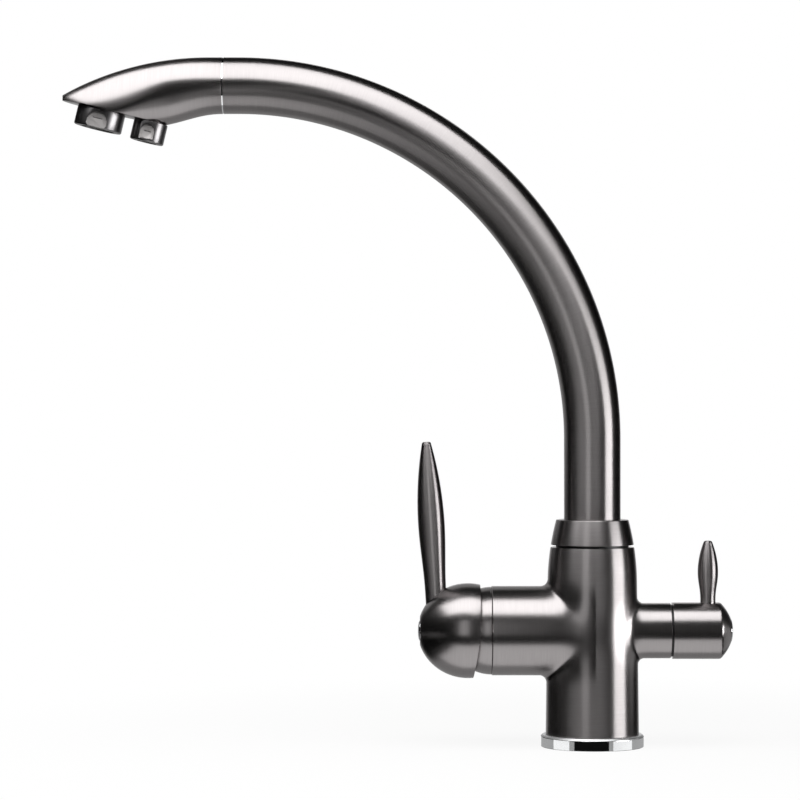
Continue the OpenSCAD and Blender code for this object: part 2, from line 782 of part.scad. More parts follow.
module valve_body() color(steel) difference() {
    union() {
        column_outline();
        on_mixer() turned([
            [0, 0], [housing_d / 2, 0], [housing_d / 2, housing_reach - edge],
            [housing_d / 2 - edge, housing_reach], [0, housing_reach]
        ]);
        on_filter() turned([
            [0, 0], [boss_d / 2, 0], [boss_d / 2, boss_reach - edge],
            [boss_d / 2 - edge, boss_reach], [0, boss_reach]
        ]);
        arm_blend(housing_d / 2, housing_fillet_r, -1);
        arm_blend(boss_d / 2, boss_fillet_r, 1);
    }
    for (k = [0 : 2]) at_inlet(k) rod(inlet_d / 2 - edge, base_ring_h - past, socket_top_z);
    at_inlet(3) rod(stud_d / 2 + edge, base_ring_h - past, socket_top_z);
    rod(socket_r, socket_floor_z, column_top_z + past);
    rod(nipple_seat_r, nipple_seat_z, socket_floor_z + past);
    on_mixer() {
        rod(cartridge_bore_r, cartridge_u, nut_u + past);
        rod(nut_r + fit_gap, nut_u, housing_reach + past);
    }
    on_filter() rod(headwork_r + fit_gap / 2, filter_floor_u, boss_reach + past);
    translate([0, 0, retainer_z]) rotate([-90, 0, 0]) rod(retainer_d / 2 + fit_gap / 2, 0, column_d);
    waterways();
}

module spout_slip_ring() color(plastic)
    ring(spigot_r + free_gap, slip_ring_d / 2, column_top_z, collar_z - fit_gap);

module spout_retaining_screw() color(dark_steel) translate([0, 0, retainer_z]) rotate([-90, 0, 0]) {
    point_z = spigot_r - retainer_groove_depth + free_gap;
    head_z = column_r(retainer_z) - retainer_recess;
    difference() {
        turned([
            [0, point_z], [retainer_d / 2 - retainer_point, point_z],
            [retainer_d / 2, point_z + retainer_point], [retainer_d / 2, head_z], [0, head_z]
        ]);
        translate([0, 0, head_z - retainer_key_depth])
            cylinder(d = retainer_key_d, h = retainer_key_depth + past, $fn = 6);
    }
}

module filter_nipple() color(brass) difference() {
    seat_r = nipple_seat_r - fit_gap / 2;
    flange_z = socket_floor_z + nipple_flange_h;
    turned([
        [0, nipple_seat_z], [seat_r, nipple_seat_z], [seat_r, socket_floor_z],
        [nipple_flange_r, socket_floor_z], [nipple_flange_r, flange_z], [nipple_r, flange_z],
        [nipple_r, nipple_top_z - nipple_point], [nipple_r - nipple_point, nipple_top_z], [0, nipple_top_z]
    ]);
    rod(nipple_bore_r, nipple_seat_z - past, nipple_top_z + past);
}

module spout_tail() color(brass) {
    flange_r = column_r(collar_z) - collar_wall - fit_gap;
    foot_z = column_top_z - spigot_len;
    groove_r = spigot_oring_r - spigot_oring_d / 2;
    groove_w = spigot_oring_d + edge;
    lead_in = 1;
    difference() {
        turned([
            [tail_bore_r, foot_z], [spigot_r - lead_in, foot_z], [spigot_r, foot_z + lead_in],
            [spigot_r, collar_z], [flange_r, collar_z], [flange_r, tube_foot_z],
            [tube_bore_r - fit_gap / 2, tube_foot_z], [tube_bore_r - fit_gap / 2, tail_top_z],
            [tail_bore_r, tail_top_z]
        ]);
        for (z = spigot_oring_z) ring(groove_r, spigot_r + past, z - groove_w / 2, z + groove_w / 2);
        ring(
            spigot_r - retainer_groove_depth, spigot_r + past,
            retainer_z - retainer_d / 2 - free_gap, retainer_z + retainer_d / 2 + free_gap
        );
    }
}

module spout_seals() color(rubber)
    for (z = spigot_oring_z) o_ring(spigot_oring_r, spigot_oring_d, z);

module spout_collar() color(steel) {
    steps = 8;
    difference() {
        turned(concat(
            [[0, collar_z], [column_r(collar_z) - edge, collar_z]],
            [
                for (i = [0 : steps])
                    let (z = collar_z + edge + (collar_h - 2 * edge) * i / steps)
                    [column_r(z), z]
            ],
            [[column_r(collar_top_z) - edge, collar_top_z], [0, collar_top_z]]
        ));
        rod(tube_r + fit_gap / 2, collar_z - past, collar_top_z + past);
        rod(column_r(collar_z) - collar_wall, collar_z - past, tube_foot_z);
    }
}

module spout_tube() color(steel) swan_neck(tube_bore_r, tube_r, tube_foot_z, tube_end_len);

module filter_hose() color(plastic)
    swan_neck(hose_bore_r, hose_r, hose_foot_z, tube_end_len + head_ring_w + head_cavity_len - head_hose_room);

module head_ring() color(chrome)
    translate([-tube_end_x, 0, bend_top_z]) rotate([0, -90, 0])
        ring(tube_bore_r, tube_r - edge / 2, 0, head_ring_w);

// The head's outer form: round at the joint, swollen below, drawn down to a flat bill
module head_outline() {
    crowding = 1.5;
    stations = [for (i = [0 : head_stations]) head_len * (1 - pow(1 - i / head_stations, crowding))];
    points = [for (d = stations) each head_section(d)];
    sides = [
        for (i = [0 : head_stations - 1], j = [0 : head_sides - 1])
            let (
                a = i * head_sides + j,
                b = i * head_sides + (j + 1) % head_sides,
                c = a + head_sides,
                d = b + head_sides
            )
            each [[a, b, d], [a, d, c]]
    ];
    joint_cap = [for (j = [head_sides - 1 : -1 : 0]) j];
    tip_cap = [for (j = [0 : head_sides - 1]) head_stations * head_sides + j];
    polyhedron(points, concat([joint_cap], sides, [tip_cap]));
}

module spout_head() color(steel) {
    drop_x = head_len - filter_outlet_pos * cos(underside_tilt);
    drop_h = (bend_top_z - tip_z + filter_outlet_pos * sin(underside_tilt)) / cos(underside_tilt);
    difference() {
        union() {
            difference() {
                head_outline();
                on_underside(-2 * head_len) translate([0, -head_len, -head_len])
                    cube([4 * head_len, 2 * head_len, head_len]);
            }
            translate([-head_x, 0, bend_top_z]) rotate([0, 90, 0])
                rod(head_spigot_r, -head_weld, head_spigot_len);
        }
        translate([-head_x, 0, bend_top_z]) rotate([0, -90, 0]) {
            rod(head_cavity_r, -head_spigot_len - past, head_cavity_len);
            rod(hose_bore_r - fit_gap, head_cavity_len - past, head_cavity_len + head_nipple_seat);
            rod(nipple_bore_r, head_cavity_len, drop_x);
            for (side = [-1, 1])
                translate([0, side * head_channel_y, head_cavity_len - past]) rotate([0, -head_channel_dip, 0])
                    cylinder(r = head_channel_r, h = head_len - head_cavity_len - mixed_outlet_pos);
        }
        on_underside(mixed_outlet_pos) aerator_hole(mixed_outlet_d);
        on_underside(filter_outlet_pos) {
            aerator_hole(filter_outlet_d);
            rod(nipple_bore_r, 0, drop_h);
        }
    }
}

module head_nipple() color(brass) {
    end = head_cavity_len + head_nipple_seat;
    translate([-head_x, 0, bend_top_z]) rotate([0, -90, 0])
        ring(nipple_bore_r, hose_bore_r - fit_gap, end - head_nipple_seat - head_nipple_len, end);
}

module mixed_aerator() color(dark_steel)
    on_underside(mixed_outlet_pos) aerator(mixed_outlet_d, mixed_outlet_h);

module mixed_aerator_insert() color(plastic)
    on_underside(mixed_outlet_pos) aerator_insert(mixed_outlet_d, mixed_outlet_h);

module mixed_aerator_washer() color(rubber) on_underside(mixed_outlet_pos) aerator_washer(mixed_outlet_d);

module filter_aerator() color(dark_steel)
    on_underside(filter_outlet_pos) aerator(filter_outlet_d, filter_outlet_h);

module filter_aerator_insert() color(plastic)
    on_underside(filter_outlet_pos) aerator_insert(filter_outlet_d, filter_outlet_h);

module filter_aerator_washer() color(rubber) on_underside(filter_outlet_pos) aerator_washer(filter_outlet_d);

module at_ports() {
    for (p = cartridge_ports) translate([p[0], p[1], 0]) children();
}

module cartridge_base() color(plastic) on_mixer() difference() {
    rod(cartridge_r, cartridge_u, fixed_disc_u);
    at_ports() {
        rod(cartridge_port_r, cartridge_u - past, fixed_disc_u + past);
        rod(cartridge_port_r + seal_w + fit_gap, cartridge_u - past, cartridge_u + seal_h);
    }
}

module cartridge_seals() color(rubber) on_mixer()
    at_ports() ring(cartridge_port_r, cartridge_port_r + seal_w, cartridge_u, cartridge_u + seal_h);

module cartridge_shell() color(plastic) on_mixer() turned([
    [shell_bore_r, fixed_disc_u], [cartridge_r, fixed_disc_u], [cartridge_r, nut_u], [shell_neck_r, nut_u],
    [shell_neck_r, shell_top_u], [turret_r + run_gap, shell_top_u],
    [turret_r + run_gap, turret_flange_top_u + disc_gap], [shell_bore_r, turret_flange_top_u + disc_gap]
]);

module fixed_disc() color(ceramic) on_mixer() difference() {
    rod(shell_bore_r - fit_gap, fixed_disc_u, fixed_disc_u + mixer_disc_h);
    at_ports() rod(cartridge_port_r, fixed_disc_u - past, fixed_disc_u + mixer_disc_h + past);
}

// The moving disc sits half its travel below the axis while the lever is closed
module at_disc() {
    on_mixer() translate([-disc_travel / 2, 0, 0]) children();
}

module moving_disc() color(ceramic) at_disc() difference() {
    rod(moving_disc_d / 2, moving_disc_u, driver_u);
    translate([0, 0, moving_disc_u - past]) linear_extrude(mixing_depth + past) {
        translate([disc_travel / 2, 0]) circle(r = mixing_front_r);
        translate([mixing_back, 0]) circle(r = mixing_back_r);
        polygon([
            [disc_travel / 2, -mixing_front_r], [disc_travel / 2, mixing_front_r],
            [mixing_back, mixing_back_r], [mixing_back, -mixing_back_r]
        ]);
    }
}

module disc_driver() color(plastic) at_disc() difference() {
    union() {
        rod(moving_disc_d / 2 - driver_rim, driver_u, driver_u + driver_plate_h);
        translate([-driver_len / 2, -driver_w / 2, driver_u])
            cube([driver_len, driver_w, driver_top_u - driver_u]);
    }
    translate([disc_travel / 2, 0, 0])
        rod(spindle_ball_r + free_gap, driver_u + driver_pocket_floor, driver_top_u + past);
}

module cartridge_turret() color(plastic) on_mixer() difference() {
    turned([
        [0, turret_u], [turret_flange_r, turret_u], [turret_flange_r, turret_flange_top_u],
        [turret_r, turret_flange_top_u], [turret_r, turret_top_u], [0, turret_top_u]
    ]);
    translate([-cartridge_r, -driver_w / 2 - free_gap, turret_u - past])
        cube([cartridge_d, driver_w + 2 * free_gap, driver_top_u + free_gap - turret_u + past]);
    translate([-slot_h / 2, -slot_w / 2, turret_u]) cube([slot_h, slot_w, turret_top_u - turret_u + past]);
    translate([0, 0, pivot_u]) rotate([90, 0, 0]) cylinder(d = pivot_pin_d, h = cartridge_d, center = true);
}

module pivot_pin() color(dark_steel) on_mixer() translate([0, 0, pivot_u]) rotate([90, 0, 0])
    cylinder(d = pivot_pin_d, h = 2 * (turret_r - pin_recess), center = true);

module lever_spindle() color(brass) on_mixer() difference() {
    union() {
        translate([0, 0, drive_u]) sphere(r = spindle_ball_r);
        turned([
            [0, drive_u], [spindle_neck_r, drive_u], [spindle_neck_r, spindle_neck_u],
            [spindle_r, spindle_barrel_u], [spindle_r, spindle_end_u - spindle_square_len],
            [0, spindle_end_u - spindle_square_len]
        ]);
        translate([-spindle_square / 2, -spindle_square / 2, spindle_end_u - spindle_square_len])
            cube([spindle_square, spindle_square, spindle_square_len]);
    }
    translate([0, 0, pivot_u]) rotate([90, 0, 0])
        cylinder(r = pivot_pin_d / 2 + run_gap, h = cartridge_d, center = true);
    rod(handle_screw_d / 2 + fit_gap / 2, spindle_end_u - spindle_thread_len, spindle_end_u + past);
}

module cartridge_nut() color(brass) on_mixer() difference() {
    union() {
        rod(nut_r, nut_u, pivot_u);
        translate([0, 0, pivot_u]) cylinder(r = cover_r - cover_wall - nut_hex_room, h = nut_hex_h, $fn = 6);
    }
    rod(shell_neck_r + fit_gap, nut_u - past, pivot_u + nut_hex_h + past);
}

// Concentric with the lever pivot, so that the handle dome slides over it
module mixer_cover() color(steel) on_mixer() difference() {
    translate([0, 0, pivot_u]) difference() {
        sphere(r = cover_r);
        sphere(r = cover_r - cover_wall);
    }
    rod(cover_r + past, pivot_u - cover_r - past, pivot_u);
    rod(cover_r + past, pivot_u + cover_reach, pivot_u + cover_r + past);
}

module dome_outline() {
    end_a = asin((dome_half_len - dome_end_cut) / dome_half_len);
    start_a = asin(-dome_offset / dome_half_len);
    turned(concat(
        [[0, pivot_u]],
        [
            for (i = [0 : profile_steps * 2])
                let (a = start_a + (end_a - start_a) * i / (profile_steps * 2))
                [dome_d / 2 * cos(a), dome_u + dome_half_len * sin(a)]
        ],
        [[0, dome_end_u]]
    ));
}

// Places a piece on the mixer lever's axis: its Z runs from the seat to the lever's tip
module on_mixer_lever() {
    on_mixer() translate([0, 0, lever_foot_u]) rotate([0, 90, 0]) rotate([0, -lever_lean, 0])
        translate([0, 0, lever_seat_h]) children();
}

module mixer_handle() color(steel) difference() {
    square = spindle_square + 2 * fit_gap;
    on_mixer() dome_outline();
    on_mixer() {
        translate([0, 0, pivot_u]) sphere(r = cavity_r);
        translate([-dome_d, -dome_d, rim_u - dome_d]) cube([2 * dome_d, 2 * dome_d, dome_d]);
        translate([0, 0, rim_u]) rotate([0, rim_slope, 0]) translate([-2 * dome_d, -dome_d, -dome_d])
            cube([2 * dome_d, 2 * dome_d, dome_d]);
        translate([-square / 2, -square / 2, pivot_u])
            cube([square, square, spindle_end_u - pivot_u + fit_gap]);
        rod(handle_screw_d / 2 + fit_gap, spindle_end_u, dome_end_u + past);
        rod(screw_head_r, mixer_screw_u, dome_end_u + past);
        rod(mixer_button_d / 2, dome_end_u - button_depth, dome_end_u + past);
    }
    on_mixer_lever() {
        rod(lever_foot_d / 2 + fit_gap / 2, 0, lever_len);
        rod(lever_stud_d / 2 + fit_gap / 2, -lever_stud_len - screw_room, past);
    }
}

module mixer_handle_screw() color(dark_steel) on_mixer()
    handle_screw(spindle_end_u - spindle_screw_len, mixer_screw_u, handle_screw_d);

module mixer_index_button() color(chrome) on_mixer()
    index_button(mixer_button_d, dome_end_u - button_depth, dome_end_u);

module mixer_lever() color(steel) on_mixer_lever()
    turned_lever(
        lever_len, lever_tip_d, lever_max_d, lever_foot_d, lever_max_pos,
        lever_stud_len, lever_stud_d
    );

module filter_headwork() color(brass) on_filter() difference() {
    turned([
        [headwork_bore_r, headwork_u], [headwork_r, headwork_u], [headwork_r, boss_reach],
        [headwork_nose_r, boss_reach], [headwork_nose_r, headwork_top_u],
        [filter_spindle_r + run_gap, headwork_top_u],
        [filter_spindle_r + run_gap, headwork_u + headwork_bore_len],
        [headwork_bore_r, headwork_u + headwork_bore_len]
    ]);
    translate([0, 0, filter_moving_u + filter_disc_h / 2]) rotate([0, 90, 0])
        cylinder(r = filter_window_r, h = headwork_d + 2 * past, center = true);
}

module filter_seal() color(rubber) on_filter()
    ring(headwork_r - fit_gap - filter_seal_w, headwork_r - fit_gap, filter_floor_u, headwork_u);

module filter_fixed_disc() color(ceramic) on_filter() difference() {
    rod(filter_disc_r, headwork_u, headwork_u + filter_disc_h);
    for (side = [-1, 1]) translate([side * filter_port_offset, 0, 0])
        rod(filter_port_r, headwork_u - past, headwork_u + filter_disc_h + past);
}

// Two notches in the rim stand across the ports while the lever is closed
module filter_moving_disc() color(ceramic) on_filter() difference() {
    rod(filter_disc_r, filter_moving_u, filter_shoulder_u);
    for (side = [-1, 1]) translate([0, side * filter_port_offset, 0]) {
        rod(filter_port_r, filter_moving_u - past, filter_shoulder_u + past);
        translate([-filter_port_r, side > 0 ? 0 : -filter_disc_r, filter_moving_u - past])
            cube([2 * filter_port_r, filter_disc_r, filter_disc_h + 2 * past]);
    }
}

module filter_spindle() color(brass) on_filter() {
    groove_r = filter_spindle_r + run_gap - seal_gap - filter_oring_d;
    groove_w = filter_oring_d + edge;
    difference() {
        union() {
            rod(filter_disc_r - free_gap, filter_shoulder_u, headwork_u + headwork_bore_len - disc_gap);
            rod(filter_spindle_r, filter_shoulder_u, filter_cavity_end_u);
            translate([-filter_square / 2, -filter_square / 2, filter_cavity_end_u])
                cube([filter_square, filter_square, filter_spindle_end_u - filter_cavity_end_u]);
        }
        ring(groove_r, filter_spindle_r + past, filter_oring_u - groove_w / 2, filter_oring_u + groove_w / 2);
        ring(
            filter_spindle_r - circlip_groove, filter_spindle_r + past,
            headwork_top_u + fit_gap, headwork_top_u + circlip_h + 2 * fit_gap
        );
        rod(
            filter_screw_d / 2 + fit_gap / 2,
            filter_spindle_end_u - filter_thread_len, filter_spindle_end_u + past
        );
    }
}

module filter_spindle_seal() color(rubber) on_filter()
    o_ring(filter_spindle_r + run_gap - seal_gap - filter_oring_d / 2, filter_oring_d, filter_oring_u);

module filter_circlip() color(dark_steel) on_filter() translate([0, 0, headwork_top_u + 1.5 * fit_gap])
    difference() {
        r = filter_spindle_r - circlip_groove + fit_gap / 2;
        ring(r, r + circlip_w, 0, circlip_h);
        translate([-circlip_gap / 2, 0, -past]) cube([circlip_gap, headwork_d, circlip_h + 2 * past]);
    }

module filter_slip_ring() color(plastic) on_filter()
    ring(headwork_nose_r + fit_gap, filter_ring_d / 2, boss_reach, filter_handle_u - fit_gap);

module filter_handle() color(steel) {
    r = filter_handle_d / 2;
    button_r = filter_button_d / 2;
    square = filter_square + 2 * fit_gap;
    nose = arc([r, filter_nose_u], [button_r + edge, filter_handle_end_u], -filter_nose_bulge, profile_steps);
    difference() {
        on_filter() turned(concat(
            [[0, filter_handle_u], [r - edge, filter_handle_u], [r, filter_handle_u + edge]],
            nose,
            [[0, filter_handle_end_u]]
        ));
        on_filter() {
            rod(filter_cavity_r, filter_handle_u - past, filter_cavity_end_u);
            translate([-square / 2, -square / 2, filter_cavity_end_u - past])
                cube([square, square, filter_spindle_end_u - filter_cavity_end_u + past + fit_gap]);
            rod(filter_screw_d / 2 + fit_gap, filter_spindle_end_u, filter_handle_end_u);
            rod(screw_head_r, filter_screw_u, filter_handle_end_u + past);
            rod(button_r, filter_handle_end_u - button_depth, filter_handle_end_u + past);
        }
        on_filter_lever() {
            rod(small_lever_foot_d / 2 + fit_gap / 2, 0, small_lever_len);
            rod(small_lever_stud_d / 2 + fit_gap / 2, -small_lever_stud_len - screw_room, past);
        }
    }
}

module filter_handle_screw() color(dark_steel) on_filter()
    handle_screw(filter_spindle_end_u - filter_screw_len, filter_screw_u, filter_screw_d);

module filter_index_button() color(chrome) on_filter()
    index_button(filter_button_d, filter_handle_end_u - button_depth, filter_handle_end_u);

// Places a piece on the small lever's axis: its Z runs from the seat to the lever's tip
module on_filter_lever() {
    translate([small_lever_u, 0, valve_z + small_lever_seat_h]) children();
}

module filter_lever() color(steel) on_filter_lever()
    turned_lever(
        small_lever_len, small_lever_tip_d, small_lever_max_d, small_lever_foot_d, small_lever_max_pos,
        small_lever_stud_len, small_lever_stud_d
    );

base_ring();
base_gasket();
base_manifold();
valve_body();
spout_slip_ring();
spout_retaining_screw();
filter_nipple();
spout_tail();
spout_seals();
spout_collar();
spout_tube();
filter_hose();
head_ring();
spout_head();
head_nipple();
mixed_aerator();
mixed_aerator_insert();
mixed_aerator_washer();
filter_aerator();
filter_aerator_insert();
filter_aerator_washer();
cartridge_base();
cartridge_seals();
cartridge_shell();
fixed_disc();
moving_disc();
disc_driver();
cartridge_turret();
pivot_pin();
lever_spindle();
cartridge_nut();
mixer_cover();
mixer_handle();
mixer_handle_screw();
mixer_index_button();
mixer_lever();
filter_headwork();
filter_seal();
filter_fixed_disc();
filter_moving_disc();
filter_spindle();
filter_spindle_seal();
filter_circlip();
filter_slip_ring();
filter_handle();
filter_handle_screw();
filter_index_button();
filter_lever();
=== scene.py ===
"""Models and finishes the outer pieces of a three-way kitchen tap on a studio floor."""

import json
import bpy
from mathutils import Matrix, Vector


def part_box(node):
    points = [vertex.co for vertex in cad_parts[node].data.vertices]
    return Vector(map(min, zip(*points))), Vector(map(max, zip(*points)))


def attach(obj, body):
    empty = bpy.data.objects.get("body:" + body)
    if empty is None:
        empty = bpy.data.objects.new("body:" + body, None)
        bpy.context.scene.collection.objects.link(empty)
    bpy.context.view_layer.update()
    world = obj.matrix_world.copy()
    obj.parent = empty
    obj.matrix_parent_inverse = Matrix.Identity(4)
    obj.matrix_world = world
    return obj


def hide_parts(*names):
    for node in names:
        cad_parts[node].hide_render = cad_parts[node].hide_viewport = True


bl_info = {
    "name": "Three-way kitchen tap",
    "version": (1, 0, 0),
    "blender": (4, 5, 0),
    "location": "3D View > Sidebar > Tap",
    "description": "Models and finishes a kitchen tap with levers for mixed and filtered water",
    "category": "Object",
}

from math import asin, atan2, cos, degrees, dist, hypot, pi, radians, sin, sqrt, tan, tau

import bmesh
import bpy
from mathutils import Matrix, Vector

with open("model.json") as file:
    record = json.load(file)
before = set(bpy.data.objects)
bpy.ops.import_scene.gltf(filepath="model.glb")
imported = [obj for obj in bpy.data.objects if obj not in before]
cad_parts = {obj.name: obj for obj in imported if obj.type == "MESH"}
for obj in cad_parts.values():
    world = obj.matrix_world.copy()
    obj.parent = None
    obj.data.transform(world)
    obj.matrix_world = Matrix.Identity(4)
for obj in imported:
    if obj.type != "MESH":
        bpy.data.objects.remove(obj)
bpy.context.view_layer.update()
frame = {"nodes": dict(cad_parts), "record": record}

MM = 0.001
RING_LOW, RING_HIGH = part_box("base_ring")
BODY_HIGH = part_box("valve_body")[1]
COLLAR_LOW, COLLAR_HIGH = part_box("spout_collar")
TUBE_LOW, TUBE_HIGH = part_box("spout_tube")
JOINT_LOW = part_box("head_ring")[0]
HEAD_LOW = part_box("spout_head")[0]
COVER_LOW, COVER_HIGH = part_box("mixer_cover")
DOME_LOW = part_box("mixer_handle")[0]
KNOB_LOW, KNOB_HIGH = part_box("filter_handle")
SMALL_LOW, SMALL_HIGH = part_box("filter_lever")
VALVE_Z = (KNOB_LOW.z + KNOB_HIGH.z) / 2

# How finely the pieces are made: faces round the axis, then steps along the curved lines.
RING_SIDES, COLLAR_SIDES, TUBE_SIDES, HEAD_SIDES = 160, 128, 96, 128
COVER_SIDES, DOME_SIDES, KNOB_SIDES, BUTTON_SIDES = 128, 144, 128, 72
LEVER_SIDES, SMALL_SIDES, TENT_SIDES = 72, 64, 180
COLLAR_STEPS, BEND_STEPS, HEAD_STEPS, COVER_STEPS, LINING_STEPS = 24, 120, 72, 40, 30
DOME_STEPS, HOLLOW_STEPS, LEVER_STEPS, NOSE_STEPS, BUTTON_STEPS = 72, 48, 48, 16, 24
EDGE_STEPS = 3
SMOOTHER_THAN = radians(30)
# First, last and number of the cuts across the long facets of the column and of its arms.
COLUMN_CUTS, ARM_CUTS = (10 * MM, 98 * MM, 22), (-44 * MM, 28 * MM, 18)
# Points this close become one, edges this short are dropped, and points this near lie on a line.
MERGED, SLIVER, NEAR = 0.001 * MM, 0.0005 * MM, 0.01 * MM
# How far the column's facets may stand off its true round, and from where a point lies inside it.
FACET, INSIDE = 0.02 * MM, 0.1 * MM
# Room around the tube in its collar and around the buttons, and the land round the filter button.
COLLAR_ROOM, BUTTON_ROOM, BUTTON_LAND = 0.05 * MM, 0.1 * MM, 0.3 * MM
# Straight lines get a point this far from a rounded edge, if that is less than this share of them.
BRACE, BRACE_SHARE = 1.2 * MM, 0.4
# A closer brace keeps the ring's mirror straight up to its edges: its reach over their rounding.
RING_BRACE = 1.2
# Cosines of the angles within which a face looks up, lies along a surface, or looks straight out.
LOOKS_UP, LIES_ALONG, LOOKS_OUT = 0.3, 0.75, 0.9999
# Powers that crowd the sections of the head, and the points of the levers, towards their tips.
HEAD_CROWDING, LEVER_CROWDING = 1.6, 1.5
# Share of its width that the head keeps at its end, and of a lever's foot that tapers.
TIP_SHARE, TAPER_SHARE = 0.02, 0.83
# Spanner flats are larger than this area, and facets that bend less than this angle are one face.
FLAT_AREA, FLAT_BEND = (3 * MM) ** 2, radians(0.5)
# Radius of the tent and half the width of the floor, in metres.
TENT_R, FLOOR_HALF = 4.0, 6.0
# Evenness of the brushing: on turned lengths, by hand, and where the arms meet the column.
MACHINE_BRUSHED, HAND_BRUSHED, CROSS_BRUSHED = 0.9, 0.45, 0.1


def linear(hex_colour):
    """Turns an sRGB hex colour into linear red, green, blue and alpha."""
    parts = [int(hex_colour[i:i + 2], 16) / 255 for i in (1, 3, 5)]
    return [c / 12.92 if c <= 0.04045 else ((c + 0.055) / 1.055) ** 2.4 for c in parts] + [1.0]


def length(name, description, default):
    """A length that a user can change, given in millimetres and kept in metres."""
    return bpy.props.FloatProperty(
        name=name, description=description, default=default * MM, min=0.0, precision=5,
        unit="LENGTH", subtype="DISTANCE",
    )


def turn(name, description, default):
    """An angle that a user can change, given in degrees."""
    return bpy.props.FloatProperty(
        name=name, description=description, default=radians(default), subtype="ANGLE"
    )


def rate(name, description, default):
    """A plain number that a user can change."""
    return bpy.props.FloatProperty(name=name, description=description, default=default, precision=4)


def spot(name, description, default):
    """A point that a user can change, in metres."""
    return bpy.props.FloatVectorProperty(
        name=name, description=description, default=default, subtype="TRANSLATION"
    )


def colour(name, description, hex_colour):
    """A colour that a user can change."""
    return bpy.props.FloatVectorProperty(
        name=name, description=description, default=linear(hex_colour), size=4,
        min=0.0, max=1.0, subtype="COLOR",
    )


class TapBodySettings(bpy.types.PropertyGroup):
    """Sizes of the base ring, the column and its two arms."""

    ring_d: length("Ring diameter", "Outside diameter of the ring", (RING_HIGH.x - RING_LOW.x) / MM)
    ring_h: length("Ring height", "Height of the chrome ring above the worktop", RING_HIGH.z / MM)
    ring_bore_d: length("Ring bore", "Bore of the chrome ring", 42.6)
    ring_chamfer: length("Ring chamfer", "Chamfer around the top of the chrome ring", 0.9)
    ring_edge: length("Ring edge", "Rounding of the chrome ring's edges", 0.2)
    seal_d: length("Seal groove diameter", "Outside diameter of the deck seal's groove", 49)
    seal_w: length("Seal groove width", "Radial width of the deck seal's groove", 2.2)
    seal_h: length("Seal groove depth", "Depth of the deck seal's groove", 1.5)
    column_d: length("Column diameter", "Diameter of the column's foot on the ring", 46.2)
    column_top: length("Column height", "Height of the top of the column", BODY_HIGH.z / MM)
    shoulder_h: length("Shoulder height", "Height of the round under the column's top", 16.6)
    valve_z: length("Valve height", "Height of the axis of both valves", VALVE_Z / MM)
    housing_d: length("Housing diameter", "Diameter of the arm that holds the mixer", 44.2)
    boss_d: length("Boss diameter", "Diameter of the arm that holds the filter valve", 27.4)
    blend: length("Blend", "How softly polishing blends the arms into the column", 1.2)
    blend_len: length("Blend length", "How far that blend reaches", 7)
    cross_len: length("Cross brushing", "How far it reaches from where arm and column meet", 12)
    taper: rate("Column taper", "Radius lost for each unit of height", 0.0128)
    shoulder: rate("Shoulder curve", "Curvature of the shoulder, for each metre", 4.2)


class TapSpoutSettings(bpy.types.PropertyGroup):
    """Sizes of the collar, the swan neck and the head of the spout."""

    tube_d: length("Tube diameter", "Outside diameter of the neck", (TUBE_HIGH.y - TUBE_LOW.y) / MM)
    tube_wall: length("Tube wall", "Wall of the swan neck", 1.2)
    bend_z: length("Bend height", "Height at which the swan neck starts to bend", 152.3)
    bend_r: length("Bend radius", "Radius of the bend at the middle of the tube", 175)
    collar_wall: length("Collar wall", "Wall of the collar around the spout's flange", 2)
    collar_edge: length("Collar edge", "Rounding of the collar's edges", 0.3)
    head_arc_r: length("Head arc", "Radius of the arc along the top of the head", 148.7)
    head_flat: length("Head flat", "Straight length along the top before that arc", 7)
    belly: length("Belly swell", "How far the belly swells below the round of the tube", 4.1)
    belly_len: length("Belly length", "Length of the swollen belly", 60)
    bill_start: length("Bill start", "Distance from the joint where the bill starts", 24)
    bill_end: length("Bill end", "Distance from the joint where the bill is full", 74)
    tip_len: length("Tip length", "Length of the rounded tip, seen from above", 22)
    tip_h: length("Tip thickness", "Thickness left at the tip", 2.6)
    tip_dip: length("Bill dip", "How far the widest line sinks below the underside", 2)
    aerator_edge: length("Aerator edge", "Rounding of the edges of both aerators", 0.2)
    head_edge: length("Head edge", "Rounding around the flat underside", 1)
    tilt: turn("Underside tilt", "Slope of the flat underside", 13.5)


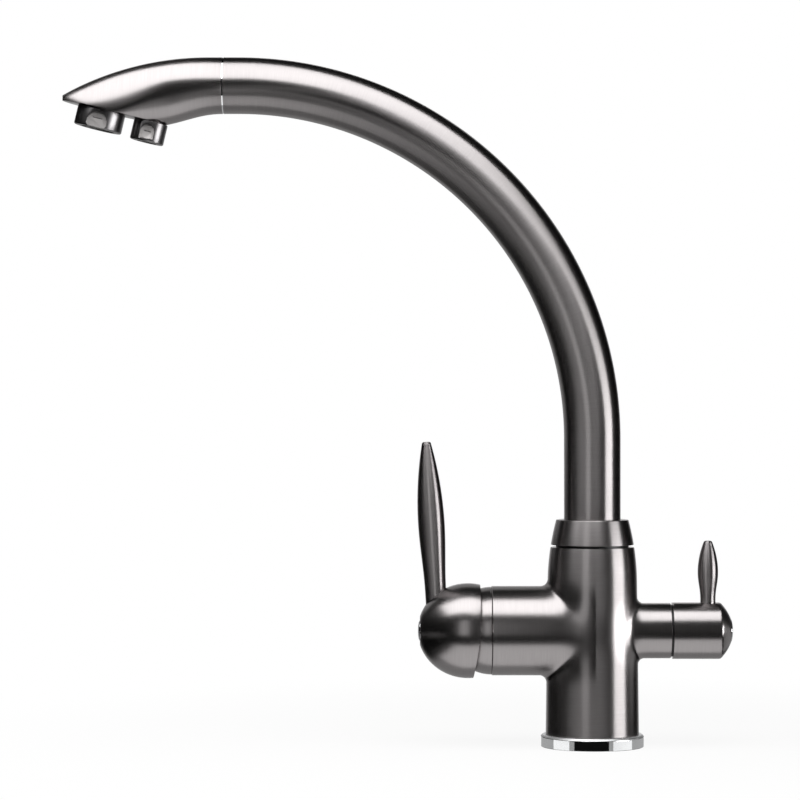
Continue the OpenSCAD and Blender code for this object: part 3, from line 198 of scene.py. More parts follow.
class TapHandleSettings(bpy.types.PropertyGroup):
    """Sizes of both handles with their levers and buttons."""

    pivot_u: length("Lever pivot", "Distance of the pivot from the column axis", -COVER_HIGH.x / MM)
    cover_r: length("Cover radius", "Radius of the cover", (COVER_HIGH.z - COVER_LOW.z) / 2 / MM)
    cover_wall: length("Cover wall", "Wall of the domed cover", 1.5)
    dome_d: length("Dome diameter", "Largest diameter of the mixer handle", 47)
    dome_half: length("Dome half length", "Half length of the mixer handle's full ellipse", 25)
    dome_offset: length("Dome offset", "Distance of the widest point from the pivot", 11.6)
    dome_cavity_r: length("Dome cavity", "Radius of the hollow over the cover", 22.1)
    dome_spare: length("Dome spare", "Length turned past the rim and cut off", 1.2)
    rim_offset: length("Rim offset", "Distance of the dome's rim from the pivot", 5.6)
    rim_slope: turn("Rim slope", "Slope of the lower half of the rim", 8.5)
    rim_edge: length("Rim edge", "Rounding of the dome's rim", 0.2)
    seam_edge: length("Seam edge", "Rounding of the cover by the housing", 0.5)
    mixer_button_d: length("Mixer button", "Diameter of the mixer's index button", 10.4)
    lever_foot_u: length("Lever foot", "Distance of the lever's foot from the column axis", 76.4)
    lever_seat: length("Lever seat", "Height of the lever's seat over the valve axis", 12.2)
    lever_len: length("Lever length", "Length of the mixer lever", 81.5)
    lever_d: length("Lever diameter", "Largest diameter of the mixer lever", 13.2)
    lever_waist: length("Lever belly", "Distance from the tip to the largest diameter", 40.5)
    lever_foot_d: length("Lever foot diameter", "Diameter of the lever at its foot", 10.5)
    lever_tip_d: length("Lever tip diameter", "Diameter of the lever at its tip", 4.2)
    lever_lean: turn("Lever lean", "Lean of the mixer lever, outwards", 3.6)
    knob_u: length("Filter handle", "Distance of its foot from the column axis", KNOB_LOW.x / MM)
    knob_d: length("Filter handle diameter", "Its diameter", (KNOB_HIGH.z - KNOB_LOW.z) / MM)
    knob_len: length("Filter handle length", "Length of its straight part", 23.7)
    knob_end_u: length("Filter handle end", "Its distance from the column axis", KNOB_HIGH.x / MM)
    knob_bulge: length("Nose bulge", "Height of the nose's bulge over a straight cone", 0.5)
    knob_edge: length("Filter handle edge", "Rounding of its edges", 0.175)
    nose_edge: length("Nose edge", "Rounding between the filter handle and its nose", 1)
    knob_cavity_d: length("Filter handle hollow", "Diameter of the hollow inside", 22.4)
    knob_cavity_len: length("Hollow length", "Length of the hollow inside", 8.6)
    knob_button_d: length("Filter button", "Diameter of the filter's index button", 11.8)
    small_u: length("Small lever", "Distance along the arm", (SMALL_LOW.x + SMALL_HIGH.x) / 2 / MM)
    small_len: length("Small lever length", "Length of the small lever", 31.4)
    small_top: length("Small lever tip", "Height of the small lever's tip", SMALL_HIGH.z / MM)
    small_d: length("Small lever diameter", "Largest diameter of the small lever", 10.1)
    small_waist: length("Small lever belly", "From its tip to the largest diameter", 15.7)
    small_foot_d: length("Small lever foot", "Diameter of the small lever at its foot", 7.5)
    small_tip_d: length("Small lever tip diameter", "Diameter at its tip", 3.7)
    tip_edge: length("Lever tip edge", "Rounding of the flat tips of both levers", 0.7)
    button_depth: length("Button seat", "Depth of the seats of both buttons", 1.6)
    button_dome: length("Button dome", "Height of the domes of both buttons", 1.1)


class TapFinishSettings(bpy.types.PropertyGroup):
    """Colours of the finishes."""

    nickel: colour("Satin nickel", "Dark brushed nickel of the outside", "#a4a0a0")
    nickel_dark: colour("Satin nickel lines", "Darker lines of the brushing", "#9e9a9a")
    chrome: colour("Chrome", "Polished chrome of the ring and the buttons", "#fcfdfe")
    dark_chrome: colour("Dark chrome", "Black chrome of the aerators", "#8f8d8e")
    flats: colour("Spanner flats", "Blasted flats of the aerators", "#b8b5b4")
    steel: colour("Steel", "Oxidised steel of the screws", "#6f6e70")
    brass: colour("Brass", "Machined brass of the inner fittings", "#c9a765")
    ceramic: colour("Ceramic", "Lapped alumina of the valve discs", "#ebe7dc")
    rubber: colour("Rubber", "Black rubber of the seals", "#1d1d1d")
    black_plastic: colour("Black plastic", "Moulded slip rings", "#1a1a1b")
    white_plastic: colour("White plastic", "Moulded cartridge, hose and jet formers", "#dcdcd6")


class TapStageSettings(bpy.types.PropertyGroup):
    """The floor, the camera and the light."""

    floor: colour("Floor", "Pale studio floor", "#f4f4f3")
    cloth: colour("Flags", "Black cloth around the set", "#2b2b2b")
    paper: colour("Grey paper", "Paper that shows in the ends of the ring", "#a8a8a8")
    board: colour("White board", "Board that shows in the undersides of the metal", "#ffffff")
    card: colour("Front card", "Card that shows as a soft streak down the fronts", "#efefef")
    camera_at: spot("Camera", "Place of the camera", (-0.0953, -1.5, 0.1715))
    camera_aim: spot("Aim", "Point that the camera looks at", (-0.0953, 0.0, 0.1715))
    camera_view: turn("Field of view", "Angle that the picture spans", 15.06)


def add_node(tree, kind, settings=None, inputs=None):
    """Adds a node with its settings, and sets its inputs or links them to sockets or nodes."""
    made = tree.nodes.new(kind)
    for name, value in (settings or {}).items():
        setattr(made, name, value)
    for name, value in (inputs or {}).items():
        if isinstance(value, bpy.types.Node):
            value = next(output for output in value.outputs if output.enabled)
        if isinstance(value, bpy.types.NodeSocket):
            tree.links.new(value, made.inputs[name])
        else:
            made.inputs[name].default_value = value
    return made


def empty_material(name):
    """A new material with no nodes yet, and its node tree."""
    material = bpy.data.materials.new(name)
    material.use_nodes = True
    material.node_tree.nodes.clear()
    return material, material.node_tree


def shade(tone, share):
    """A colour made darker by a share."""
    return [c * (1 - share) for c in tone[:3]] + [1.0]


NICKEL = "brushed_satin_nickel"
# By slot: the material, its colour, how much darker its patches get, their size in millimetres,
# whether it is metal, its range of roughness, and the depth of its relief in millimetres.
FINISHES = {
    # Bright chrome over polished brass: mirror-sharp, with a breath of haze in patches of 9 mm.
    "polished_chrome": ("polished_chrome_plate", "chrome", 0.04, 9, 1.0, (0.03, 0.07), 0.001),
    # Black chrome on a turned housing: darker, with a soft haze in patches of 4 mm.
    "dark_chrome": ("black_chrome_plate", "dark_chrome", 0.12, 4, 1.0, (0.28, 0.34), 0.002),
    # The chamfer on the ring is satin: chrome blurred to an even pale grey, in patches of 2 mm.
    "satin_chrome": ("satin_chrome_chamfer", "chrome", 0.06, 2, 1.0, (0.42, 0.5), 0.002),
    # The spanner flats are blasted: even, with a fine frost in patches of 0.6 mm.
    "blasted_chrome": ("blasted_chrome_flats", "flats", 0.1, 0.6, 1.0, (0.52, 0.6), 0.003),
    # Blackened screws: dull, with cloudy oxide in patches of 1.5 mm.
    "dark_steel": ("oxidised_steel", "steel", 0.3, 1.5, 1.0, (0.35, 0.5), 0.004),
    # Turned brass: warm, half bright, with tool marks in patches of 0.8 mm.
    "brass": ("machined_brass", "brass", 0.2, 0.8, 1.0, (0.25, 0.4), 0.004),
    # Lapped alumina: ivory white and even, with a silky gloss and grains of 0.5 mm.
    "ceramic": ("lapped_alumina", "ceramic", 0.06, 0.5, 0.0, (0.18, 0.28), 0.001),
    # Moulded rubber: deep black and matt, with a bloom in patches of 2 mm.
    "black_rubber": ("moulded_rubber", "rubber", 0.35, 2, 0.0, (0.6, 0.8), 0.01),
    # Moulded acetal: smooth and faintly waxy, with flow marks in patches of 3 mm.
    "black_plastic": ("moulded_acetal_black", "black_plastic", 0.3, 3, 0.0, (0.35, 0.5), 0.006),
    "white_plastic": ("moulded_acetal_white", "white_plastic", 0.08, 3, 0.0, (0.4, 0.55), 0.006),
}


def brushed_nickel(finish):
    """Nickel plate brushed round the axis of each piece, then lacquered dark.

    The eye sees fine lines across the axis, and highlights drawn out along it, longest where the
    brushing is even.
    """
    tree = empty_material(NICKEL)[1]
    even = add_node(tree, "ShaderNodeAttribute", {"attribute_name": "evenness"}).outputs["Fac"]
    place = add_node(tree, "ShaderNodeUVMap", {"uv_map": "brushing"})
    # The real lines are about 0.1 mm apart, too fine to show, so they are drawn 0.45 mm apart and
    # 14 mm long.
    lines = add_node(
        tree, "ShaderNodeMapping", None,
        {"Vector": place, "Scale": (1 / (0.45 * MM), 1 / (14 * MM), 1.0)},
    )
    strokes = add_node(
        tree, "ShaderNodeTexNoise", {"noise_dimensions": "2D"},
        {"Vector": lines, "Scale": 1.0, "Detail": 3.0, "Roughness": 0.6},
    )
    # Handling leaves faint cloudy patches about 25 mm across.
    clouds = add_node(
        tree, "ShaderNodeTexNoise", {"noise_dimensions": "2D"},
        {"Vector": place, "Scale": 1 / (25 * MM), "Detail": 2.0, "Roughness": 0.5},
    )
    tone = add_node(
        tree, "ShaderNodeMapRange", None, {"Value": strokes, "From Min": 0.3, "From Max": 0.7}
    )
    base = add_node(
        tree, "ShaderNodeMix", {"data_type": "RGBA"},
        {"Factor": tone, "A": finish.nickel_dark, "B": finish.nickel},
    )
    # Brushing by hand leaves the finer, shinier surface.
    dull = add_node(
        tree, "ShaderNodeMapRange", None,
        {
            "Value": even, "From Min": HAND_BRUSHED, "From Max": MACHINE_BRUSHED,
            "To Min": 0.275, "To Max": 0.345,
        },
    )
    haze = add_node(
        tree, "ShaderNodeMapRange", None,
        {"Value": clouds, "From Min": 0.25, "From Max": 0.75, "To Max": 0.025},
    )
    sheen = add_node(tree, "ShaderNodeMath", {"operation": "ADD"}, {0: dull, 1: haze})
    grooves = add_node(
        tree, "ShaderNodeBump", None,
        {"Strength": 0.03, "Distance": 0.01 * MM, "Height": strokes},
    )
    tangent = add_node(
        tree, "ShaderNodeTangent", {"direction_type": "UV_MAP", "uv_map": "brushing"}
    )
    shader = add_node(
        tree, "ShaderNodeBsdfPrincipled", None,
        {
            "Base Color": base, "Metallic": 1.0, "Roughness": sheen, "Anisotropic": even,
            "Tangent": tangent, "Normal": grooves,
        },
    )
    add_node(tree, "ShaderNodeOutputMaterial", None, {"Surface": shader})


def patchy(tree, tone, darker, patch, detail, roughness=0.5):
    """A tone with darker patches of a size in millimetres: the pattern, and its colour."""
    place = add_node(tree, "ShaderNodeTexCoord").outputs["Object"]
    pattern = add_node(
        tree, "ShaderNodeTexNoise", None,
        {"Vector": place, "Scale": 1 / (patch * MM), "Detail": detail, "Roughness": roughness},
    )
    return pattern, add_node(
        tree, "ShaderNodeMix", {"data_type": "RGBA"},
        {"Factor": pattern, "A": shade(tone, darker), "B": tone},
    )


def mottled(name, tone, darker, patch, metallic, roughness, relief):
    """A finish whose tone, gloss and surface vary in patches of one real size."""
    tree = empty_material(name)[1]
    grain, base = patchy(tree, tone, darker, patch, 4.0, 0.55)
    gloss = add_node(
        tree, "ShaderNodeMapRange", None,
        {"Value": grain, "To Min": roughness[0], "To Max": roughness[1]},
    )
    pits = add_node(
        tree, "ShaderNodeBump", None, {"Strength": 0.3, "Distance": relief * MM, "Height": grain}
    )
    shader = add_node(
        tree, "ShaderNodeBsdfPrincipled", None,
        {"Base Color": base, "Metallic": metallic, "Roughness": gloss, "Normal": pits},
    )
    add_node(tree, "ShaderNodeOutputMaterial", None, {"Surface": shader})


def finishes(context):
    """The materials by slot, made once."""
    if NICKEL not in bpy.data.materials:
        finish = context.scene.tap_finish
        brushed_nickel(finish)
        for name, tone, *look in FINISHES.values():
            mottled(name, getattr(finish, tone), *look)
    names = {"satin_nickel": NICKEL} | {slot: row[0] for slot, row in FINISHES.items()}
    return {slot: bpy.data.materials[name] for slot, name in names.items()}


def mixer_place(body):
    """Turns a piece's Z outwards along the mixer axis and its X up."""
    return Matrix(((0, 0, -1, 0), (0, 1, 0, 0), (1, 0, 0, body.valve_z), (0, 0, 0, 1)))


def filter_place(body):
    """Turns a piece's Z outwards along the filter valve's axis and its X up."""
    return Matrix(((0, 0, 1, 0), (0, -1, 0, 0), (1, 0, 0, body.valve_z), (0, 0, 0, 1)))


def column_r(body, z):
    """Radius of the column and of the collar at the height z."""
    over = max(0.0, z - (body.column_top - body.shoulder_h))
    return body.column_d / 2 - body.taper * (z - body.ring_h) - body.shoulder * over * over


def arm_r(body, x):
    """Radius of the arm on the side of x."""
    return (body.boss_d if x > 0 else body.housing_d) / 2


def spread(start, end, steps):
    """Evenly spaced values from start to end, both included."""
    return [start + (end - start) * i / steps for i in range(steps + 1)]


def arc(wide, high, middle, start, end, steps):
    """Points of a profile on an ellipse, from its half width, half height and middle height."""
    return [(wide * cos(a), middle + high * sin(a)) for a in spread(start, end, steps)]


def only(kind, geom):
    """The elements of one kind among those that an operator returns."""
    return [g for g in geom if isinstance(g, kind)]


def close_up(bm):
    """Merges doubled vertices and turns all faces outwards."""
    bmesh.ops.remove_doubles(bm, verts=bm.verts, dist=MERGED)
    bmesh.ops.dissolve_degenerate(bm, edges=bm.edges, dist=SLIVER)
    bmesh.ops.recalc_face_normals(bm, faces=bm.faces)


def cut(bm, place, normal, **clear):
    """Cuts the mesh by a plane and returns the edges of the cut."""
    geom = bm.verts[:] + bm.edges[:] + bm.faces[:]
    made = bmesh.ops.bisect_plane(
        bm, geom=geom, dist=SLIVER, plane_co=place, plane_no=normal, **clear
    )
    return only(bmesh.types.BMEdge, made["geom_cut"])


def edges_at(bm, height, beyond=0.0):
    """The edges that lie at a height, further from the axis than a radius."""
    return [
        e for e in bm.edges
        if all(abs(v.co.z - height) < NEAR and v.co.xy.length > beyond for v in e.verts)
    ]


def braced(profile, closed, reach):
    """The profile with a point near both ends of its long lines, which keeps them straight."""
    points = []
    for start, end in zip(profile, profile[1:] + profile[:1]):
        points.append(start)
        share = reach / max(dist(start, end), reach)
        if share < BRACE_SHARE and (closed or start != profile[-1]):
            points += [tuple(Vector(start).lerp(Vector(end), t)) for t in (share, 1 - share)]
    return points


def turned(profile, sides, closed=False, brace=BRACE):
    """A piece turned about Z from a profile of (radius, height) points."""
    profile = braced(profile, closed, brace)
    bm = bmesh.new()
    along = bm.verts.layers.float.new("along")
    line, run = [], 0.0
    for i, (radius, height) in enumerate(profile):
        run += dist(profile[i - 1], profile[i]) if i else 0.0
        vert = bm.verts.new((radius, 0.0, height))
        vert[along] = run
        line.append(vert)
    followers = line[1:] + line[:1] if closed else line[1:]
    edges = [bm.edges.new(pair) for pair in zip(line, followers)]
    bmesh.ops.spin(
        bm, geom=line + edges, cent=(0, 0, 0), axis=(0, 0, 1), angle=tau, steps=sides,
        use_merge=True,
    )
    close_up(bm)
    return bm


def round_edges(bm, width, edges=None):
    """Rounds the given edges, or every edge that is sharp."""
    if edges is None:
        edges = [e for e in bm.edges if e.is_manifold and e.calc_face_angle() > SMOOTHER_THAN]
    bmesh.ops.bevel(
        bm, geom=edges, offset=width, offset_type="OFFSET", segments=EDGE_STEPS, profile=0.5,
        affect="EDGES", clamp_overlap=True, material=-1,
    )


def lay_brushing(bm, axis_of):
    """Maps the brushing: U runs along the axis and V round it, both in metres.

    axis_of gives a face's radius and the measure of its vertices: the distance along the axis, and
    the angle round it, or no angle on the axis.
    """
    brushing = bm.loops.layers.uv.new("brushing")
    for face in bm.faces:
        radius, measure = axis_of(face)
        corners = [measure(loop.vert) for loop in face.loops]
        first = [angle for _, angle in corners if angle is not None][0]
        for loop, (along, angle) in zip(face.loops, corners):
            angle = first if angle is None else angle
            angle += tau * round((first - angle) / tau)
            loop[brushing].uv = (along, angle * radius)


def brush_turned(bm, radius):
    """Maps the brushing of a piece turned about Z."""
    layer = bm.verts.layers.float["along"]

    def measure(vert):
        on_axis = hypot(vert.co.x, vert.co.y) < MERGED
        return vert[layer], None if on_axis else atan2(vert.co.y, vert.co.x)

    lay_brushing(bm, lambda face: (radius, measure))


def by_machine(point):
    """Evenness of a piece that is brushed as it turns."""
    return MACHINE_BRUSHED


def by_hand(point):
    """Evenness of a piece that is brushed by hand."""
    return HAND_BRUSHED


def add_piece(
    context, bm, name, body, node, place=Matrix(), evenness=by_machine, slot="satin_nickel"
):
    """Makes the mesh an object that rides on a body and stands for a node."""
    bmesh.ops.transform(bm, matrix=place, verts=bm.verts)
    mesh = bpy.data.meshes.new(name)
    bm.to_mesh(mesh)
    bm.free()
    mesh.shade_smooth()
    mesh.set_sharp_from_angle(angle=SMOOTHER_THAN)
    mesh.materials.append(finishes(context)[slot])
    if slot == "satin_nickel":
        layer = mesh.attributes.new("evenness", "FLOAT", "POINT")
        layer.data.foreach_set("value", [evenness(v.co) for v in mesh.vertices])
    piece = bpy.data.objects.new(name, mesh)
    context.scene.collection.objects.link(piece)
    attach(piece, body)
    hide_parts(node)
    return mesh


class TAP_OT_base_ring(bpy.types.Operator):
    """Turn the chrome ring that stands on the worktop"""

    bl_idname = "tap.base_ring"
    bl_label = "Base ring"

    def execute(self, context):
        body = context.scene.tap_body
        outer, bore, groove = body.ring_d / 2, body.ring_bore_d / 2, body.seal_d / 2
        inner, high = groove - body.seal_w, body.ring_h
        bm = turned(
            [
                (bore, 0.0), (inner, 0.0), (inner, body.seal_h), (groove, body.seal_h),
                (groove, 0.0), (outer, 0.0), (outer, high - body.ring_chamfer),
                (outer - body.ring_chamfer, high), (bore, high),
            ],
            RING_SIDES, closed=True, brace=RING_BRACE * body.ring_edge,
        )
        round_edges(bm, body.ring_edge)
        # What looks up is satin: the chamfer and the top.
        for face in bm.faces:
            face.material_index = int(face.normal.z > LOOKS_UP)
        mesh = add_piece(
            context, bm, "chrome_ring", "tap_body", "base_ring", slot="polished_chrome"
        )
        mesh.materials.append(finishes(context)["satin_chrome"])
        return {"FINISHED"}


def off_surfaces(body, point):
    """How far a point stands off the column, and off the arm on its side."""
    x, y, z = point
    off_arm = hypot(y, z - body.valve_z) - arm_r(body, x)
    return hypot(x, y) - column_r(body, z), off_arm


def body_normal(body, point):
    """Outward direction of the column, of an arm, or of the blend between them."""
    x, y, z = point
    out, up = max(NEAR, hypot(x, y)), z - body.valve_z
    slope = (column_r(body, z + NEAR) - column_r(body, z - NEAR)) / (2 * NEAR)
    on_column = Vector((x / out, y / out, -slope)).normalized()
    arm_out = max(NEAR, hypot(y, up))
    on_arm = Vector((0.0, y / arm_out, up / arm_out))
    offs = off_surfaces(body, point)
    to_arm, to_column = from_column, from_arm = [max(0.0, off - FACET) for off in offs]
    if min(offs) >= -INSIDE:
        to_column += body.blend * max(0.0, 1 - from_column / body.blend_len) ** 2
        to_arm += body.blend * max(0.0, 1 - from_arm / body.blend_len) ** 2
    mixed = on_column * to_column + on_arm * to_arm
    return mixed.normalized() if mixed.length > 0 else on_column


def body_evenness(body, point):
    """Evenness of the brushing on the column and the arms, which fades where they meet."""
    off_column, off_arm = map(abs, off_surfaces(body, point))
    away = min(1.0, max(off_column, off_arm) / body.cross_len)
    plain = MACHINE_BRUSHED if off_column < off_arm else HAND_BRUSHED
    return CROSS_BRUSHED + (plain - CROSS_BRUSHED) * away * away * (3 - 2 * away)


class TAP_OT_valve_body(bpy.types.Operator):
    """Smooth and brush the column with its two arms"""

    bl_idname = "tap.valve_body"
    bl_label = "Valve body"

    def execute(self, context):
        body = context.scene.tap_body
        bm = bmesh.new()
        bm.from_mesh(frame["nodes"]["valve_body"].data)
        bmesh.ops.remove_doubles(bm, verts=bm.verts, dist=MERGED)
        # Cuts across the long facets give the brushing enough points to fade along them.
        for z in spread(*COLUMN_CUTS):
            cut(bm, (0, 0, z), (0, 0, 1))
        for x in spread(*ARM_CUTS):
            cut(bm, (x, 0, 0), (1, 0, 0))

        def up_column(vert):
            return vert.co.z, atan2(vert.co.y, vert.co.x)

        def along_arm(vert):
            return vert.co.x, atan2(vert.co.y, vert.co.z - body.valve_z)

        def axis_of(face):
            centre = face.calc_center_median()
            off_column, off_arm = map(abs, off_surfaces(body, centre))
            if off_column <= off_arm:
                return body.column_d / 2, up_column
            return arm_r(body, centre.x), along_arm

        lay_brushing(bm, axis_of)
        mesh = add_piece(
            context, bm, "brushed_valve_body", "tap_body", "valve_body",
            evenness=lambda point: body_evenness(body, point),
        )
        # Facets that lie along the true surface take its direction, and the others keep their own.
        normals = [None] * len(mesh.loops)
        for face in mesh.polygons:
            for i in face.loop_indices:
                smooth = body_normal(body, mesh.vertices[mesh.loops[i].vertex_index].co)
                along = smooth.dot(face.normal) > LIES_ALONG
                normals[i] = smooth if along else face.normal.copy()
        mesh.normals_split_custom_set(normals)
        return {"FINISHED"}


class TAP_OT_spout_collar(bpy.types.Operator):
    """Turn the collar that carries on the line of the column"""

    bl_idname = "tap.spout_collar"
    bl_label = "Spout collar"

    def execute(self, context):
        body, spout = context.scene.tap_body, context.scene.tap_spout
        low, high = COLLAR_LOW.z, COLLAR_HIGH.z
        bore, inner = spout.tube_d / 2 + COLLAR_ROOM, column_r(body, low) - spout.collar_wall
        bm = turned(
            [(bore, TUBE_LOW.z), (inner, TUBE_LOW.z), (inner, low)]
            + [(column_r(body, z), z) for z in spread(low, high, COLLAR_STEPS)]
            + [(bore, high)],
            COLLAR_SIDES, closed=True,
        )
        round_edges(bm, spout.collar_edge)
        brush_turned(bm, body.column_d / 2)
        add_piece(context, bm, "brushed_collar", "spout", "spout_collar")
        return {"FINISHED"}


class TAP_OT_swan_neck(bpy.types.Operator):
    """Bend the tube of the spout"""

    bl_idname = "tap.swan_neck"
    bl_label = "Swan neck"

    def execute(self, context):
        spout = context.scene.tap_spout
        radius, bend_r, bend_z = spout.tube_d / 2, spout.bend_r, spout.bend_z
        bm = bmesh.new()
        foot = Matrix.Translation((0.0, 0.0, TUBE_LOW.z))
        bmesh.ops.create_circle(bm, segments=TUBE_SIDES, radius=radius, matrix=foot)
        ring = self.grow(bm, bm.edges[:], (0.0, 0.0, bend_z - TUBE_LOW.z))
        last = bmesh.ops.spin(
            bm, geom=list({v for e in ring for v in e.verts}) + ring, cent=(-bend_r, 0.0, bend_z),
            axis=(0.0, -1.0, 0.0), angle=pi / 2, steps=BEND_STEPS, use_duplicate=False,
        )["geom_last"]
        self.grow(bm, only(bmesh.types.BMEdge, last), (TUBE_LOW.x + bend_r, 0.0, 0.0))
        close_up(bm)
        self.point_outwards(bm)
        bmesh.ops.solidify(bm, geom=bm.faces[:], thickness=spout.tube_wall)

        def measure(vert):
            x, y, z = vert.co
            if z < bend_z and x > -bend_r:
                return z - bend_z, atan2(y, x)
            if x > -bend_r:
                off = hypot(x + bend_r, z - bend_z) - bend_r
                return bend_r * atan2(z - bend_z, x + bend_r), atan2(y, off)
            return bend_r * pi / 2 - bend_r - x, atan2(y, z - bend_z - bend_r)

        lay_brushing(bm, lambda face: (radius, measure))
        add_piece(context, bm, "brushed_swan_neck", "spout", "spout_tube")
        return {"FINISHED"}

    def grow(self, bm, ring, step):
        """Extrudes a ring of edges by a step and returns the new ring."""
        grown = bmesh.ops.extrude_edge_only(bm, edges=ring)["geom"]
        fresh = set(only(bmesh.types.BMVert, grown))
        bmesh.ops.translate(bm, vec=step, verts=list(fresh))
        return [e for e in only(bmesh.types.BMEdge, grown) if fresh.issuperset(e.verts)]

    def point_outwards(self, bm):
        """An open tube has no inside, so its faces are turned by hand where they look inwards."""
        face = min(bm.faces, key=lambda f: f.calc_center_median().z)
        centre = face.calc_center_median()
        if face.normal.x * centre.x + face.normal.y * centre.y < 0:
            bmesh.ops.reverse_faces(bm, faces=bm.faces[:])


class TAP_OT_spout_head(bpy.types.Operator):
    """Loft the head with its belly and its flat bill"""

    bl_idname = "tap.spout_head"
    bl_label = "Spout head"

    def execute(self, context):
        spout = context.scene.tap_spout
        start = JOINT_LOW.x
        size = start - HEAD_LOW.x
        radius, arc_r = spout.tube_d / 2, spout.head_arc_r
        top = spout.bend_z + spout.bend_r + radius

        def crest(d):
            return top - arc_r + sqrt(arc_r ** 2 - max(0.0, d - spout.head_flat) ** 2)

        tip_z = crest(size) - spout.tip_h
        rise = tan(spout.tilt)

        def section(d, angle):
            over = max(0.0, d - size + spout.tip_len) / spout.tip_len
            width = radius * sqrt(max(TIP_SHARE ** 2, 1 - over * over))
            bill = (d - spout.bill_start) / (spout.bill_end - spout.bill_start)
            share = min(1.0, max(0.0, bill))
            share *= share * (3 - 2 * share)
            full = crest(d) - tip_z + (size - d) * rise + spout.tip_dip
            crown = radius + (full - radius) * share
            belly = 2 * radius - crown
            if d < spout.belly_len:
                belly += spout.belly * sin(pi * d / spout.belly_len) ** 2
            lift = (crown if sin(angle) > 0 else belly) * sin(angle)
            return start - d, width * cos(angle), crest(d) - crown + lift

        bm = bmesh.new()
        around = bm.verts.layers.float.new("around")
        along = bm.verts.layers.float.new("along")
        for vert in bmesh.ops.create_circle(bm, segments=HEAD_SIDES, radius=radius)["verts"]:
            vert[around] = atan2(vert.co.y, vert.co.x)
            vert.co = section(0.0, vert[around])
        loop = joint = bm.edges[:]
        for i in range(1, HEAD_STEPS + 1):
            d = size * (1 - (1 - i / HEAD_STEPS) ** HEAD_CROWDING)
            grown = bmesh.ops.extrude_edge_only(bm, edges=loop)["geom"]
            loop = only(bmesh.types.BMEdge, grown)
            for vert in only(bmesh.types.BMVert, grown):
                vert.co = section(d, vert[around])
                vert[along] = d
        bmesh.ops.edgeloop_fill(bm, edges=joint)
        bmesh.ops.edgeloop_fill(bm, edges=[e for e in loop if e.is_valid and e.is_boundary])
        close_up(bm)
        down = (-sin(spout.tilt), 0.0, -cos(spout.tilt))
        rim = cut(bm, (start - size, 0.0, tip_z), down, clear_outer=True)
        bmesh.ops.edgeloop_fill(bm, edges=rim)
        close_up(bm)
        round_edges(bm, spout.head_edge)
        lay_brushing(bm, lambda face: (radius, lambda v: (v[along], v[around])))

        def evenness(point):
            share = min(1.0, max(0.0, start - point.x) / spout.bill_start)
            return MACHINE_BRUSHED + (HAND_BRUSHED - MACHINE_BRUSHED) * share

        add_piece(
            context, bm, "brushed_spout_head", "spout", "spout_head", evenness=evenness
        )
        return {"FINISHED"}


class TAP_OT_mixer_handle(bpy.types.Operator):
    """Turn the mixer's cover and the dome that slides over it"""

    bl_idname = "tap.mixer_handle"
    bl_label = "Mixer handle"

    def execute(self, context):
        body, handle = context.scene.tap_body, context.scene.tap_handle
        self.cover(context, handle, mixer_place(body))
        self.dome(context, handle, mixer_place(body))
        return {"FINISHED"}

    def cover(self, context, handle, place):
        pivot = handle.pivot_u
        reach = -COVER_LOW.x - pivot
        outer, inner = handle.cover_r, handle.cover_r - handle.cover_wall
        bm = turned(
            arc(outer, outer, pivot, 0.0, asin(reach / outer), COVER_STEPS)
            + arc(inner, inner, pivot, asin(reach / inner), 0.0, LINING_STEPS),
            COVER_SIDES, closed=True,
        )
        round_edges(bm, handle.seam_edge, edges_at(bm, pivot, inner + INSIDE))
        round_edges(bm, handle.rim_edge)
        brush_turned(bm, outer)
        add_piece(
            context, bm, "brushed_mixer_cover", "tap_body", "mixer_cover", place, by_hand
        )

    def dome(self, context, handle, place):
        pivot, end = handle.pivot_u, -DOME_LOW.x
        half, widest = handle.dome_half, pivot + handle.dome_offset
        rim = pivot + handle.rim_offset
        spare, seat = rim - handle.dome_spare, end - handle.button_depth
        cavity, button = handle.dome_cavity_r, handle.mixer_button_d / 2
        outside = arc(
            handle.dome_d / 2, half, widest,
            asin((end - widest) / half), asin((spare - widest) / half), DOME_STEPS,
        )
        inside = arc(
            cavity, cavity, pivot, asin((spare - pivot) / cavity), pi / 2, HOLLOW_STEPS
        )
        inside[-1] = (0.0, pivot + cavity)
        bm = turned([(0.0, seat), (button, seat), (button, end)] + outside, DOME_SIDES)
        shell = turned(inside, DOME_SIDES)
        hollow = bpy.data.meshes.new("hollow")
        shell.to_mesh(hollow)
        shell.free()
        bm.from_mesh(hollow)
        bpy.data.meshes.remove(hollow)
        slope = handle.rim_slope
        for normal in ((0.0, 0.0, 1.0), (sin(slope), 0.0, cos(slope))):
            cut(bm, (0.0, 0.0, rim), normal, clear_inner=True)
        bmesh.ops.bridge_loops(bm, edges=[e for e in bm.edges if e.is_boundary])
        close_up(bm)
        round_edges(bm, handle.rim_edge)
        brush_turned(bm, handle.dome_d / 2)
        add_piece(
            context, bm, "brushed_mixer_dome", "mixer_control", "mixer_handle", place, by_hand
        )


def lever_profile(size, tip_r, max_r, foot_r, waist, edge):
    """Profile of a turned lever from the middle of its foot to its flat tip."""
    points = [(0.0, 0.0)]
    for i in range(LEVER_STEPS + 1):
        t = size * (1 - i / LEVER_STEPS) ** LEVER_CROWDING
        if t < waist:
            radius = max_r - (max_r - tip_r) * (1 - t / waist) ** 2
            radius -= edge * (1 - sqrt(1 - max(0.0, 1 - t / edge) ** 2))
        else:
            share = min(1.0, (t - waist) / (size - waist) / TAPER_SHARE)
            radius = foot_r + (max_r - foot_r) * (1 + cos(pi * share)) / 2
        points.append((radius, size - t))
    return points + [(0.0, size)]


